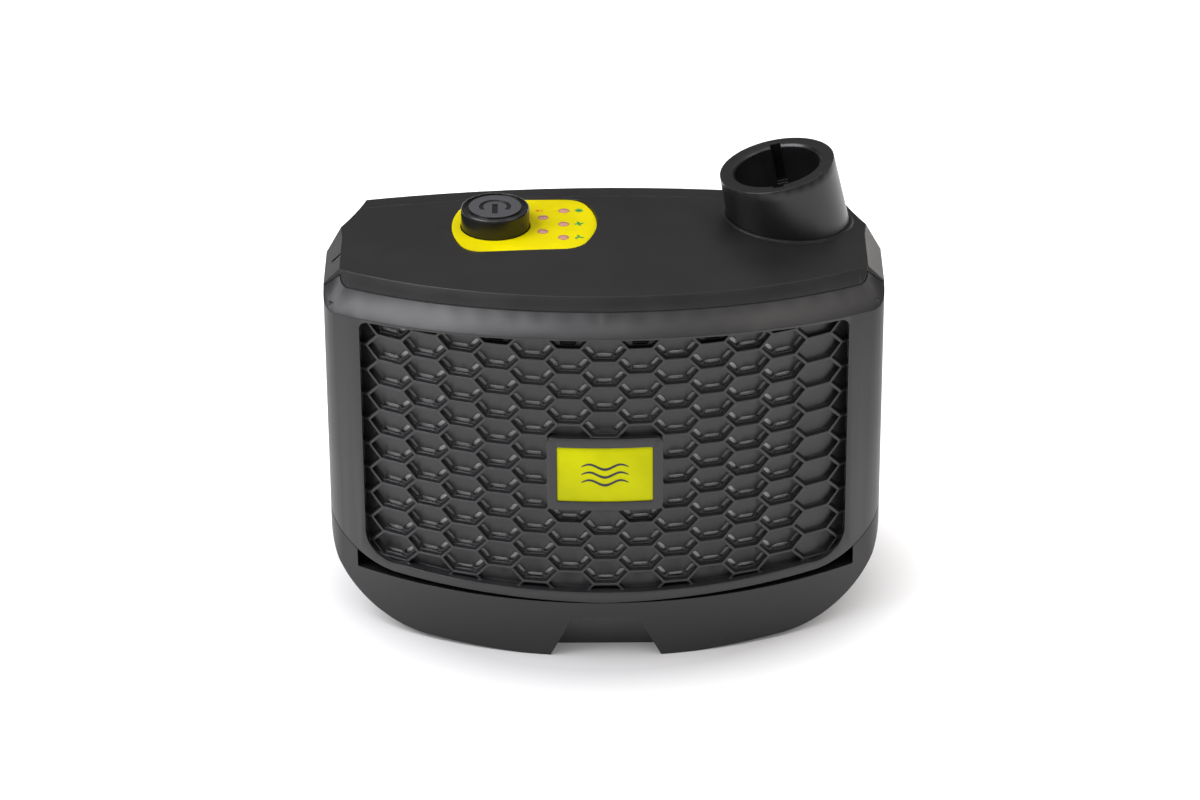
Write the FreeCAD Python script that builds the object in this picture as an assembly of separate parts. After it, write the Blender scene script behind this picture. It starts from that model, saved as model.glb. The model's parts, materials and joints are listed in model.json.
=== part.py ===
"""Portable filtered-air blower unit: a belt-worn fan box with a honeycomb filter
cover in front, a battery in the underside and a hose socket on top.

Frame: millimetres, +Z up, +X to the right of a person facing the filter cover,
+Y from the cover towards the belt side. The origin lies on the resting plane, under
the centre of the unit's bounding box. One STEP file per sub-part goes to parts/.
"""
import FreeCAD, Part
import math
import os

V = FreeCAD.Vector

# ---------------------------------------------------------------- driving dimensions
HALF_WIDTH = 112.0        # body half width, across X
FRONT_Y = -60.0           # foremost line of the bowed filter cover
BACK_Y = 52.0             # flat back of the rear cover
REAR_JOINT_Y = 43.0       # main casing meets the rear cover
FRONT_R = 185.0           # plan radius of the bowed front
CORNER_R = 12.0           # plan radius between the bow and the flat sides
PARTING_Y = -13.5         # where the filter cover ends and the casing's sides begin
CREASE_Y = 15.0           # the top face falls towards the back from this line
WAIST_Y = (14.0, 23.0)    # start and end of the oblique flank behind the flat sides
WAIST_X = 107.5           # half width where the oblique flank ends
BACK_HALF_WIDTH = 97.2    # half width of the flat back
TOP_Z = 162.4             # top face on the centre plane
ARCH_R = 957.0            # the top face is arched across X with this radius
REAR_FALL_DEG = 5.1       # slope of the top face behind the crease
WALL = 2.5                # casing wall
CLEAR = 0.25              # assembly gap between mouldings

COVER_WALL = 2.8
CHAMFER_Z = 149.2         # lower edge of the cover's front chamfer, centre plane
CHAMFER_RISE = 14.0       # how far the 45 degree chamfer surface is carried up
SEAM_INSET = 8.1          # the chamfer ends this far behind the cover's front
SEAM_HALF_WIDTH = 105.0   # half width of the raised top face
SEAM_CORNER_R = 8.0
FACET_DOWN = 5.2          # steep facet between top face and chamfer: height
FACET_IN = 2.7            # and depth
BEVEL_SUM = 262.0         # the 45 degree side bevel is the plane |x| + z = this

BOTTOM_FLAT = 36.0        # half width of the lowest, level part of the underside
BOTTOM_CORNER = (70.0, 43.6, 42.0)   # x, z and radius of the round lower corners
CHIN_INSET = (0.5, 4.6)   # chin set back from the bow at the cover's edge and at z = 0

OPEN_HALF_WIDTH = 97.3    # grille opening
OPEN_Z = (33.0, 148.4)    # its lower and upper edge on the centre plane
RIB_DEPTH = 2.5           # honeycomb ribs lie this far behind the cover's front
FLOOR_DEPTH = 5.0         # and the slotted floor this far
FLOOR_WALL = 1.0
CELL_PITCH_X = 14.2       # honeycomb column pitch
CELL_PITCH_Z = 11.31      # honeycomb row pitch
CELL_FLAT = 9.3           # length of a level rib
RIB_WIDTH = 1.1
RIB_Z0 = 35.5             # height of the lowest level rib in the middle column
COLUMNS = 7               # columns each side of the middle one
ROWS = 11

ROOM_HALF_WIDTH = 101.0   # filter room inside the casing
ROOM_Z = (27.8, 148.6)
ROOM_BACK_Y = -4.0

KEYPAD_CENTRE = (-31.9, 16.1)
KEYPAD_SIZE = (58.6, 48.2)
KEYPAD_CORNER_R = 10.0
KEYPAD_END_R = 42.0       # the two ends bulge with this radius
KEYPAD_THICK = 1.0
KEYPAD_TILT_DEG = 2.0
KEYPAD_SINK = 0.45        # keypad face below the top face, along its front edge
BUTTON_XY = (-43.6, 15.6)
BUTTON_R = 13.8
BUTTON_PROUD = 8.6
BUTTON_DISC_R = 10.6      # flat disc inside the button's groove
BUTTON_GROOVE = (12.5, 0.9)   # its outer radius and depth
BUTTON_TRAVEL = 1.5
LED_R = 2.1
LED_XY = ((-16.0, 29.6), (-16.0, 16.9), (-16.0, 4.4), (-24.4, 23.2), (-24.4, 10.1))

SPIGOT_BASE = (74.4, 26.6, 159.2)
SPIGOT_LEAN_DEG = 11.0    # the hose socket leans towards -X
SPIGOT_BASE_R = 24.2
SPIGOT_RIM_R = 23.4
SPIGOT_LENGTH = 22.9
SOCKET_R = 17.4
SOCKET_DEPTH = 22.4       # to the step above the seal
SEAL_R, SEAL_DEEP = 16.5, 1.6
COLLAR = (1.3, 0.6)       # low collar round the socket's foot: width, height

FAN_X, FAN_Z = 28.0, 97.5     # fan axis, parallel to Y
SCROLL_Y = (1.0, 29.0)        # fan housing, front to back
SCROLL_R = (40.0, 52.0)       # inner spiral radius at the cut-off and at the outlet
DUCT_X = (58.0, 80.0)         # fan outlet channel, inside width
IMPELLER_R = 35.5
INLET_R = 24.0

BATTERY_HALF_WIDTH = 68.0
BATTERY_Y = (-0.8, 39.9)
BATTERY_Z = (1.6, 43.0)
CELL_R, CELL_L = 9.1, 65.0

CHIN_TOP_Z = 28.0         # height at which the chin meets the cover
SCOOP_TOP_Z = 20.5        # finger recess in the chin: height, half widths, depth
SCOOP_HALF_WIDTHS = (13.0, 22.5)
SCOOP_TOP_Y = -58.3
SCOOP_DEPTH_Y = -45.0

OPEN_DROP = 5.4           # the opening's upper edge falls this much towards its ends
OPEN_LOW_CORNER = 13.0
SLOT_EDGE_GAP = 2.05      # slot centre from the rib's middle line
SLOT_LEVEL = (6.4, 2.1)   # length and width of the slot beside a level rib
SLOT_OBLIQUE = (4.8, 1.8)
BADGE_Z = 87.2
BADGE_HALF = (23.1, 16.4)     # frame round the badge, half sizes
PLATE_HALF = (19.2, 12.4)     # the badge's plate, half sizes

FILTER_HALF = 92.0        # filter cartridge
FILTER_Z = (36.0, 145.0)
FILTER_BACK_Y = -8.3
FILTER_BOW_R = 172.4

REAR_BOSSES = ((91.5, 119.0), (93.0, 70.0), (78.0, 9.5))
WEB_REACH = 14.0
HOOK_X, HOOK_HALF = 48.0, 17.0
HOOK_Z = (62.0, 124.0)
HOOK_THICK = 2.2
HOOK_SCREW_Z = (100.0, 116.0)

SOCKET_BELOW = 9.0        # the cone is carried this far below its base
SOCKET_THROAT = 19.0
KEYWAY_WIDTH, KEYWAY_DEEP = 4.2, 2.4
DUCT_BOX = (56.5, 94.0, 3.0, 46.0)
DUCT_Z = (130.0, 143.0)

TAB_X = 108.3             # cover's two side tabs
LATCH_X = -107.6          # cover latch beside the filter room
LATCH_Y = (0.2, 6.0)
BAT_LATCH_HALF = 11.0
BOARD_TOP = -9.9          # below the keypad's face
BOARD_XY = (-62.0, -4.0, 0.8, 37.5)
KEYPAD_POINT = (KEYPAD_CENTRE[0], KEYPAD_CENTRE[1], 160.59)

SPIRAL_TURN = (41.0, 360.0)   # degrees from +X, cut-off to outlet
FAN_LUG_TURNS = (135.0, 225.0, 318.0)
IMPELLER_BLADES = 30
SHAFT_Y = (8.0, 47.4)
BEARING_Y = (32.0, 44.3)
STATOR_Y = (36.0, 43.4)
MOTOR_END_Y = 44.2
CONTACT_X = (-50.0, -40.0, -30.0)

HOOK_DEPTH = 8.0          # belt hooks stand this far behind the flat back
BIG = 400.0


# ---------------------------------------------------------------- small helpers
def box(x0, x1, y0, y1, z0, z1):
    return Part.makeBox(x1 - x0, y1 - y0, z1 - z0, V(x0, y0, z0))


def cylinder(radius, start, end):
    axis = end - start
    return Part.makeCylinder(radius, axis.Length, start, axis)


def tube(outer_r, inner_r, start, end):
    return cylinder(outer_r, start, end).cut(cylinder(inner_r, start, end))


def line(a, b):
    return Part.LineSegment(a, b).toShape()


def arc(a, mid, b):
    return Part.Arc(a, mid, b).toShape()


def prism(edges, vector):
    return Part.Face(Part.Wire(edges)).extrude(vector)


def polygon_prism(points, vector):
    return Part.Face(Part.makePolygon(list(points) + [points[0]])).extrude(vector)


def fused(shapes):
    whole = shapes[0]
    for shape in shapes[1:]:
        whole = whole.fuse(shape)
    return whole.removeSplitter()


def bow_edges(inset, half_width, back_edges):
    """Front bow with rounded corners, then the back edges from right to left."""
    corner = CORNER_R - inset
    bow = FRONT_R - inset
    centre_y = FRONT_Y + FRONT_R
    fx = half_width - corner
    fy = centre_y - math.sqrt((bow - corner) ** 2 - fx ** 2)
    reach = bow / (bow - corner)
    tx, ty = fx * reach, centre_y + (fy - centre_y) * reach
    half_turn = math.atan2(ty - fy, tx - fx) / 2.0
    mx, my = fx + corner * math.cos(half_turn), fy + corner * math.sin(half_turn)
    edges = [arc(V(-tx, ty, 0), V(0, FRONT_Y + inset, 0), V(tx, ty, 0)),
             arc(V(tx, ty, 0), V(mx, my, 0), V(half_width, fy, 0))]
    edges += back_edges(half_width, fy)
    edges.append(arc(V(-half_width, fy, 0), V(-mx, my, 0), V(-tx, ty, 0)))
    return edges


def waisted_back(inset):
    """Flat sides, oblique flanks and hollow rear corners, ending in the flat back."""
    def edges(half_width, start_y):
        flank = WAIST_X - inset
        back = BACK_HALF_WIDTH - inset
        bend = (0.42 * flank + 0.58 * back, 0.5 * (WAIST_Y[1] + BACK_Y))
        right = [V(half_width, start_y, 0), V(half_width, WAIST_Y[0], 0), V(flank, WAIST_Y[1], 0)]
        corner = V(back, BACK_Y, 0)
        flip = lambda p: V(-p.x, p.y, 0)
        out = [line(right[0], right[1]), line(right[1], right[2])]
        out.append(arc(right[2], V(bend[0], bend[1], 0), corner))
        out.append(line(corner, flip(corner)))
        out.append(arc(flip(corner), V(-bend[0], bend[1], 0), flip(right[2])))
        out += [line(flip(right[2]), flip(right[1])), line(flip(right[1]), flip(right[0]))]
        return out
    return edges


def plan_prism(inset):
    return prism(bow_edges(inset, HALF_WIDTH - inset, waisted_back(inset)), V(0, 0, BIG / 2))


def profile_prism(inset):
    """Outline seen from the front: round lower corners, flat sides, 45 degree bevels."""
    w = HALF_WIDTH - inset
    cx, cz, radius = BOTTOM_CORNER
    radius -= inset
    low = cz - radius
    diagonal = radius / math.sqrt(2.0)
    bevel_z = BEVEL_SUM - math.sqrt(2.0) * inset - w
    rise = 30.0
    y0 = -BIG / 2

    def p(x, z):
        return V(x, y0, z)
    right = [p(BOTTOM_FLAT, inset), p(cx, low), p(w, cz), p(w, bevel_z), p(w - rise, bevel_z + rise)]
    left = [p(-v.x, v.z) for v in right]
    edges = [line(left[0], right[0]), line(right[0], right[1]),
             arc(right[1], p(cx + diagonal, cz - diagonal), right[2]),
             line(right[2], right[3]), line(right[3], right[4]), line(right[4], left[4]),
             line(left[4], left[3]), line(left[3], left[2]),
             arc(left[2], p(-cx - diagonal, cz - diagonal), left[1]), line(left[1], left[0])]
    return prism(edges, V(0, BIG, 0))


def arch(z_centre):
    """Everything below an arched, level surface."""
    side = HALF_WIDTH + 30.0
    side_z = z_centre - ARCH_R + math.sqrt(ARCH_R ** 2 - side ** 2)
    y0, low = -BIG / 2, -50.0
    edges = [arc(V(-side, y0, side_z), V(0, y0, z_centre), V(side, y0, side_z)),
             line(V(side, y0, side_z), V(side, y0, low)), line(V(side, y0, low), V(-side, y0, low)),
             line(V(-side, y0, low), V(-side, y0, side_z))]
    return prism(edges, V(0, BIG, 0))


def below_top(inset):
    """Below the top face, which falls towards the back behind the crease."""
    falling = arch(TOP_Z - inset)
    falling.rotate(V(0, CREASE_Y, TOP_Z - inset), V(1, 0, 0), -REAR_FALL_DEG)
    return arch(TOP_Z - inset).common(falling)


def chamfered_front(inset):
    """The bow carried up to its arched 45 degree chamfer."""
    bow = FRONT_R - inset
    side = HALF_WIDTH + 15.0
    side_y = FRONT_Y + FRONT_R - math.sqrt(bow ** 2 - side ** 2)
    back = BACK_Y + 20.0
    edges = [arc(V(-side, side_y, 0), V(0, FRONT_Y + inset, 0), V(side, side_y, 0)),
             line(V(side, side_y, 0), V(side, back, 0)), line(V(side, back, 0), V(-side, back, 0)),
             line(V(-side, back, 0), V(-side, side_y, 0))]
    edge_z = CHAMFER_Z - (math.sqrt(2.0) - 1.0) * inset + CHAMFER_RISE
    block = prism(edges, V(0, 0, BIG / 2)).common(arch(edge_z))
    rim = [e for e in block.Edges
           if e.BoundBox.XLength > side and e.BoundBox.ZMin > edge_z - 20.0 and e.BoundBox.YMin < 0.0]
    return block.makeChamfer(CHAMFER_RISE, rim)


def casing_envelope(inset):
    return plan_prism(inset).common(profile_prism(inset)).common(below_top(inset))


def cover_envelope(inset):
    whole = plan_prism(inset).common(profile_prism(inset)).common(chamfered_front(inset))
    return whole


def seam_block(grow):
    """Vertical block under the raised top face; its front is the cover's upper seam."""
    bow = FRONT_R - SEAM_INSET + grow
    w = SEAM_HALF_WIDTH + grow
    y_side = FRONT_Y + FRONT_R - math.sqrt(bow ** 2 - w ** 2)
    y_back = PARTING_Y + 1.0
    z0 = 140.0
    edges = [arc(V(-w, y_side, z0), V(0, FRONT_Y + SEAM_INSET - grow, z0), V(w, y_side, z0)),
             line(V(w, y_side, z0), V(w, y_back, z0)), line(V(w, y_back, z0), V(-w, y_back, z0)),
             line(V(-w, y_back, z0), V(-w, y_side, z0))]
    return prism(edges, V(0, 0, 60.0))


def seam_prism(grow):
    """The same block with its two front corners rounded."""
    block = seam_block(grow)
    corners = [e for e in block.Edges if e.BoundBox.ZLength > 50 and e.BoundBox.YMax < PARTING_Y]
    return block.makeFillet(SEAM_CORNER_R + grow, corners)


def below_cover_edge(offset):
    """Everything below the filter cover's lower edge, seen from the front."""
    y0 = -BIG / 2
    z = lambda value: value + offset
    points = [V(0, y0, z(28.2)), V(86.0, y0, z(31.0)), V(103.5, y0, z(38.6)), V(112.6, y0, z(52.0))]
    outer = V(140.0, y0, z(52.0))
    flip = lambda p: V(-p.x, p.y, p.z)
    low = V(140.0, y0, -20.0)
    edges = [line(points[0], points[1]), arc(points[1], points[2], points[3]), line(points[3], outer),
             line(outer, low), line(low, flip(low)), line(flip(low), flip(outer)),
             line(flip(outer), flip(points[3])), arc(flip(points[3]), flip(points[2]), flip(points[1])),
             line(flip(points[1]), points[0])]
    return prism(edges, V(0, BIG, 0))



# ---------------------------------------------------------------- casing
def finger_scoop(grow):
    """Tapered finger recess in the middle of the chin, deepest at its foot."""
    def frame(z, half_width, back_y):
        w, b = half_width + grow, back_y + grow
        return Part.makePolygon([V(-w, -90, z), V(w, -90, z), V(w, b, z), V(-w, b, z), V(-w, -90, z)])
    slope = (SCOOP_DEPTH_Y - SCOOP_TOP_Y) / SCOOP_TOP_Z
    low = -6.0
    spread = (SCOOP_HALF_WIDTHS[1] - SCOOP_HALF_WIDTHS[0]) / SCOOP_TOP_Z
    top = frame(SCOOP_TOP_Z + grow, SCOOP_HALF_WIDTHS[0], SCOOP_TOP_Y)
    foot = frame(low, SCOOP_HALF_WIDTHS[1] - spread * low, SCOOP_DEPTH_Y - slope * low)
    return Part.makeLoft([top, foot], True, True)


def chin_body(inset):
    """Lower front of the casing, drawn in towards its foot."""
    reach = HALF_WIDTH + 15.0
    back = CREASE_Y
    slope = (CHIN_INSET[1] - CHIN_INSET[0]) / CHIN_TOP_Z

    def bow_wire(z):
        step = CHIN_INSET[1] - slope * z + inset
        bow = FRONT_R - step
        y_side = FRONT_Y + FRONT_R - math.sqrt(bow ** 2 - reach ** 2)
        return Part.Wire([arc(V(-reach, y_side, z), V(0, FRONT_Y + step, z), V(reach, y_side, z)),
                          line(V(reach, y_side, z), V(reach, back, z)),
                          line(V(reach, back, z), V(-reach, back, z)),
                          line(V(-reach, back, z), V(-reach, y_side, z))])
    block = Part.makeLoft([bow_wire(-5.0), bow_wire(60.0)], True, True)
    block = block.common(box(-BIG, BIG, -BIG, PARTING_Y + inset + 0.01, -BIG, BIG))
    return block.common(plan_prism(inset)).common(profile_prism(inset)).common(below_cover_edge(-CLEAR))


def raised_top(inset):
    """Raised top face in front of the flat sides, with its steep front facet."""
    block = seam_block(-inset).common(below_top(inset))
    block = block.common(box(-BIG, BIG, -BIG, BIG, ROOM_Z[1] - 2.0, BIG))
    if inset == 0:
        rim = [e for e in block.Edges
               if e.BoundBox.ZMin > 150 and e.BoundBox.XLength > 150 and e.BoundBox.YMin < -30]
        block = block.makeChamfer(FACET_DOWN, FACET_IN, rim)
    return block.common(seam_prism(-inset))


def filter_room():
    """Walls of the filter room and the space inside them."""
    w, z0, z1 = ROOM_HALF_WIDTH, ROOM_Z[0], ROOM_Z[1]
    walls = box(-w - WALL, w + WALL, -58.0, ROOM_BACK_Y - 0.2, z0 - WALL, z1 + WALL)
    walls = walls.common(cover_envelope(COVER_WALL + 0.6))
    tray_back = FLOOR_DEPTH + FLOOR_WALL + 0.4
    walls = walls.common(Part.makeCylinder(FRONT_R - tray_back, 240.0, V(0, FRONT_Y + FRONT_R, -20)))
    space = box(-w, w, -90.0, ROOM_BACK_Y + 1.0, z0, z1)
    return walls, space


def battery_bay():
    """Side walls, back wall and roof round the battery pack."""
    w, y1 = BATTERY_HALF_WIDTH + 0.4, BATTERY_Y[1] + 0.4
    y0, z1 = BATTERY_Y[0] - 0.4, BATTERY_Z[1] + 0.6
    outer = box(-w - 2, w + 2, y0, y1 + 2.0, 0.5, z1 + 2.0)
    front = box(-w - 2, w + 2, y0 - 2.0, y0, 0.5, ROOM_Z[0] - WALL)
    opening = box(-w, w, y0, y1, -5.0, z1)
    return outer.fuse(front), opening


def rear_boss_points():
    return [(side * x, z) for side in (-1, 1) for x, z in REAR_BOSSES]


def placed_on_keypad(shape):
    """Carries a shape drawn round the keypad's centre, with z = 0 on its face, into place."""
    shape = shape.copy()
    shape.rotate(V(0, 0, 0), V(1, 0, 0), -KEYPAD_TILT_DEG)
    shape.translate(V(*KEYPAD_POINT))
    return shape


def keypad_outline(grow, z):
    """Rectangle with round corners and bulging ends, centred on the origin."""
    w, d = KEYPAD_SIZE[0] / 2 + grow, KEYPAD_SIZE[1] / 2 + grow
    corner, bulge = KEYPAD_CORNER_R + grow, KEYPAD_END_R + grow
    cy = d - corner
    run = math.sqrt((bulge - corner) ** 2 - cy ** 2)
    cx = w - bulge + run
    reach = bulge / (bulge - corner)
    tx, ty = w - bulge + run * reach, cy * reach
    turn = (math.atan2(cy, run) + math.pi / 2) / 2
    mx, my = cx + corner * math.cos(turn), cy + corner * math.sin(turn)

    def p(x, y):
        return V(x, y, z)
    return [line(p(-cx, -d), p(cx, -d)), arc(p(cx, -d), p(mx, -my), p(tx, -ty)),
            arc(p(tx, -ty), p(w, 0), p(tx, ty)), arc(p(tx, ty), p(mx, my), p(cx, d)),
            line(p(cx, d), p(-cx, d)), arc(p(-cx, d), p(-mx, my), p(-tx, ty)),
            arc(p(-tx, ty), p(-w, 0), p(-tx, -ty)), arc(p(-tx, -ty), p(-mx, -my), p(-cx, -d))]


def local_xy(point):
    return point[0] - KEYPAD_CENTRE[0], point[1] - KEYPAD_CENTRE[1]


def pin_at(point, radius, z0, z1):
    x, y = local_xy(point)
    return Part.makeCylinder(radius, z1 - z0, V(x, y, z0))


def socket_axis():
    lean = math.radians(SPIGOT_LEAN_DEG)
    return V(-math.sin(lean), 0, math.cos(lean))


def on_socket(s):
    """Point on the hose socket's axis, s above the base."""
    return V(*SPIGOT_BASE) + socket_axis() * s


def socket_collar(y0, y1):
    """Low ring on the top face round the socket's foot."""
    width, height = COLLAR
    ring = socket_cone(width).common(below_top(-height))
    return ring.common(box(-BIG, BIG, y0, y1, SPIGOT_BASE[2] - 8.0, BIG))


def socket_cone(grow):
    slope = (SPIGOT_RIM_R - SPIGOT_BASE_R) / SPIGOT_LENGTH
    low = -SOCKET_BELOW
    return Part.makeCone(SPIGOT_BASE_R + slope * low + grow, SPIGOT_RIM_R + grow,
                         SPIGOT_LENGTH - low, on_socket(low), socket_axis())


def main_casing():
    front = box(-BIG, BIG, -BIG, REAR_JOINT_Y, -BIG, BIG)
    behind = box(-BIG, BIG, PARTING_Y, BIG, -BIG, BIG)
    shell = casing_envelope(0).common(behind).common(front)
    shell = shell.fuse(raised_top(0)).fuse(chin_body(0))
    inner = casing_envelope(WALL).common(box(-BIG, BIG, PARTING_Y + WALL, BIG, -BIG, BIG))
    roof_space = raised_top(WALL).common(box(-BIG, BIG, -BIG, BIG, ROOM_Z[1] + WALL, BIG))
    chin_space = chin_body(WALL).common(box(-BIG, BIG, -BIG, BIG, -BIG, ROOM_Z[0] - WALL))
    chin_space = chin_space.cut(finger_scoop(WALL))
    passage = box(-98, 98, PARTING_Y - 2, PARTING_Y + WALL + 1, ROOM_Z[1] + WALL, 156.0)
    underpass = box(-66, 66, PARTING_Y - 2, PARTING_Y + WALL + 1, WALL, ROOM_Z[0] - WALL)
    shell = shell.cut(inner).cut(roof_space).cut(chin_space).cut(passage).cut(underpass)
    shell = shell.cut(finger_scoop(0))
    walls, space = filter_room()
    bay, opening = battery_bay()
    bed = placed_on_keypad(prism(keypad_outline(2.0, -KEYPAD_THICK - 2.2), V(0, 0, 2.6)))
    extras = [walls, bay.common(casing_envelope(1.0)), bed.common(below_top(1.0))]
    extras.append(socket_collar(-BIG, REAR_JOINT_Y))
    extras += [placed_on_keypad(pin_at(point, 2.9, BOARD_TOP + 0.05, -3.0)) for point in board_holes()]
    for x, z in rear_boss_points():
        extras.append(cylinder(4.2, V(x, 24, z), V(x, REAR_JOINT_Y, z)).common(casing_envelope(1.0)))
        reach = math.copysign(WEB_REACH, x)
        web = box(min(x, x + reach), max(x, x + reach), 24, REAR_JOINT_Y, z - 1.0, z + 1.0)
        extras.append(web.common(casing_envelope(1.0)))
    shell = fused([shell] + extras)
    cuts = [space, opening, socket_cone(0.15), keypad_pocket(), latch_slits()]
    for x, z in rear_boss_points():
        cuts.append(cylinder(1.6, V(x, 26, z), V(x, REAR_JOINT_Y + 1, z)))
    cuts += [placed_on_keypad(pin_at(point, 1.4, BOARD_TOP - 1, -4.5)) for point in board_holes()]
    for side in (-1, 1):
        cuts.append(box(side * TAB_X - 1.5, side * TAB_X + 1.5, -14, -10.9, 137.6, 146.4))
    for x in CONTACT_X:
        cuts.append(box(x - 0.9, x + 0.9, 15.6, 22.4, BATTERY_Z[1], BATTERY_Z[1] + 3.0))
    for cut in cuts:
        shell = shell.cut(cut)
    return shell


def keypad_pocket():
    pocket = prism(keypad_outline(0.2, -KEYPAD_THICK), V(0, 0, 10.0))
    pocket = pocket.fuse(pin_at(BUTTON_XY, BUTTON_R + 0.3, -9.0, 1.0))
    for point in LED_XY:
        pocket = pocket.fuse(pin_at(point, LED_R + 0.15, -9.0, 1.0))
    return placed_on_keypad(pocket)


def latch_slits():
    """Slit above the cover latch in the left bevel and the battery latch's window below."""
    x, y0 = LATCH_X, LATCH_Y[0] - 1.7
    slit = box(x - 1.4, x + 2.2, y0, y0 + 2.0, 149.8, 160.0)
    window = box(-BAT_LATCH_HALF - 0.4, BAT_LATCH_HALF + 0.4, -12.6, -1.0, -1.0, 8.4)
    return slit.fuse(window)


def rear_cover():
    shell = casing_envelope(0).common(box(-BIG, BIG, REAR_JOINT_Y + 0.1, BIG, -BIG, BIG))
    space = casing_envelope(WALL).common(box(-BIG, BIG, -BIG, BACK_Y - WALL, -BIG, BIG))
    shell = shell.cut(space)
    pads = [cylinder(4.2, V(x, REAR_JOINT_Y + 0.1, z), V(x, BACK_Y - WALL + 0.5, z))
            for x, z in rear_boss_points()]
    for x, z in hook_screw_points():
        pads.append(cylinder(4.0, V(x, BACK_Y - WALL - 3, z), V(x, BACK_Y - 1, z)))
    shell = fused([shell, socket_collar(REAR_JOINT_Y + 0.1, BIG)]
                  + [p.common(casing_envelope(0.5)) for p in pads])
    shell = shell.cut(socket_cone(0.15))
    for x, z in rear_boss_points():
        shell = shell.cut(cylinder(1.7, V(x, 40, z), V(x, BIG, z)))
        shell = shell.cut(cylinder(3.4, V(x, BACK_Y - 2.6, z), V(x, BIG, z)))
    for x, z in hook_screw_points():
        shell = shell.cut(cylinder(1.6, V(x, 40, z), V(x, BIG, z)))
    return shell


def screw(point, axis, head_r, head_h, shank_r, length):
    """Socket-head screw; point is under the head and axis points out of the head."""
    head = cylinder(head_r, point, point + axis * head_h)
    shank = cylinder(shank_r, point - axis * length, point + axis * 0.1)
    socket = cylinder(head_r * 0.45, point + axis * (head_h * 0.4), point + axis * (head_h + 1))
    return head.fuse(shank).cut(socket)


def rear_screws():
    back = V(0, 1, 0)
    return Part.makeCompound([screw(V(x, BACK_Y - 2.55, z), back, 3.1, 2.1, 1.5, 14.0)
                              for x, z in rear_boss_points()])


def hook_screw_points():
    return [(side * HOOK_X, z) for side in (-1, 1) for z in HOOK_SCREW_Z]


def belt_hook(side):
    """Flat plate on the back whose lower arm turns up behind the belt."""
    y0, y1 = BACK_Y + 0.05, BACK_Y + HOOK_DEPTH
    z0, z1 = HOOK_Z
    t = HOOK_THICK
    points = [(y0, z1), (y0 + t, z1), (y0 + t, z0 + t), (y1 - t, z0 + t), (y1 - t, z1 - 14),
              (y1, z1 - 16), (y1, z0 + 2), (y1 - 2, z0), (y0, z0)]
    x0 = side * HOOK_X - HOOK_HALF
    hook = polygon_prism([V(x0, y, z) for y, z in points], V(2 * HOOK_HALF, 0, 0))
    for z in HOOK_SCREW_Z:
        hook = hook.cut(cylinder(1.6, V(side * HOOK_X, 0, z), V(side * HOOK_X, y0 + t + 0.5, z)))
        hook = hook.cut(cylinder(3.2, V(side * HOOK_X, y0 + t + 0.2, z), V(side * HOOK_X, BIG, z)))
    return hook


def hook_screws():
    face = BACK_Y + 0.1 + HOOK_THICK
    return Part.makeCompound([screw(V(x, face, z), V(0, 1, 0), 3.0, 1.6, 1.5, 6.0)
                              for x, z in hook_screw_points()])


# ---------------------------------------------------------------- hose socket and duct
def hose_socket():
    """Leaning tube with a bayonet socket, held between casing and rear cover."""
    axis = socket_axis()
    body = socket_cone(0)
    flange = Part.makeCylinder(28.0, 2.0, V(SPIGOT_BASE[0] + 1.2, SPIGOT_BASE[1], 148.6))
    flange = flange.common(box(-BIG, BIG, -BIG, 46.0, 0, BIG)).common(casing_envelope(WALL + 0.3))
    throat = cylinder(14.0, on_socket(-SOCKET_THROAT), on_socket(-6))
    body = fused([body, flange, throat])
    step = SPIGOT_LENGTH - SOCKET_DEPTH
    body = body.cut(cylinder(SOCKET_R, on_socket(step), on_socket(BIG / 4)))
    body = body.cut(cylinder(SEAL_R + 0.1, on_socket(step - SEAL_DEEP), on_socket(step + 1)))
    body = body.cut(cylinder(12.0, on_socket(-60), on_socket(10)))
    lip = Part.makeCone(SOCKET_R, SOCKET_R + 1.0, 1.0, on_socket(SPIGOT_LENGTH - 1.0), axis)
    body = body.cut(lip)
    keyway = Part.makeBox(KEYWAY_WIDTH, 2 * (SOCKET_R + KEYWAY_DEEP), 19.0,
                          V(-KEYWAY_WIDTH / 2, -SOCKET_R - KEYWAY_DEEP, SPIGOT_LENGTH - 17.0))
    keyway.rotate(V(0, 0, 0), V(0, 1, 0), -SPIGOT_LEAN_DEG)
    keyway.translate(V(*SPIGOT_BASE))
    return body.cut(keyway)


def socket_seal():
    step = SPIGOT_LENGTH - SOCKET_DEPTH
    return tube(SEAL_R, 13.4, on_socket(step - SEAL_DEEP + 0.05), on_socket(step - 0.1))


def outlet_duct():
    """Plenum between the fan's outlet and the throat of the hose socket."""
    x0, x1, y0, y1 = DUCT_BOX
    z0, z1 = DUCT_Z
    outer = box(x0, x1, y0, y1, z0, z1)
    inner = box(x0 + 2, x1 - 2, y0 + 2, y1 - 2, z0 + 2, z1 - 2)
    inlet = box(DUCT_X[0], DUCT_X[1], SCROLL_Y[0] + 2.1, SCROLL_Y[1] - 2, z0 - 1, z0 + 3)
    throat = cylinder(14.2, on_socket(-40), on_socket(-10))
    return outer.cut(inner).cut(inlet).cut(throat)


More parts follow.
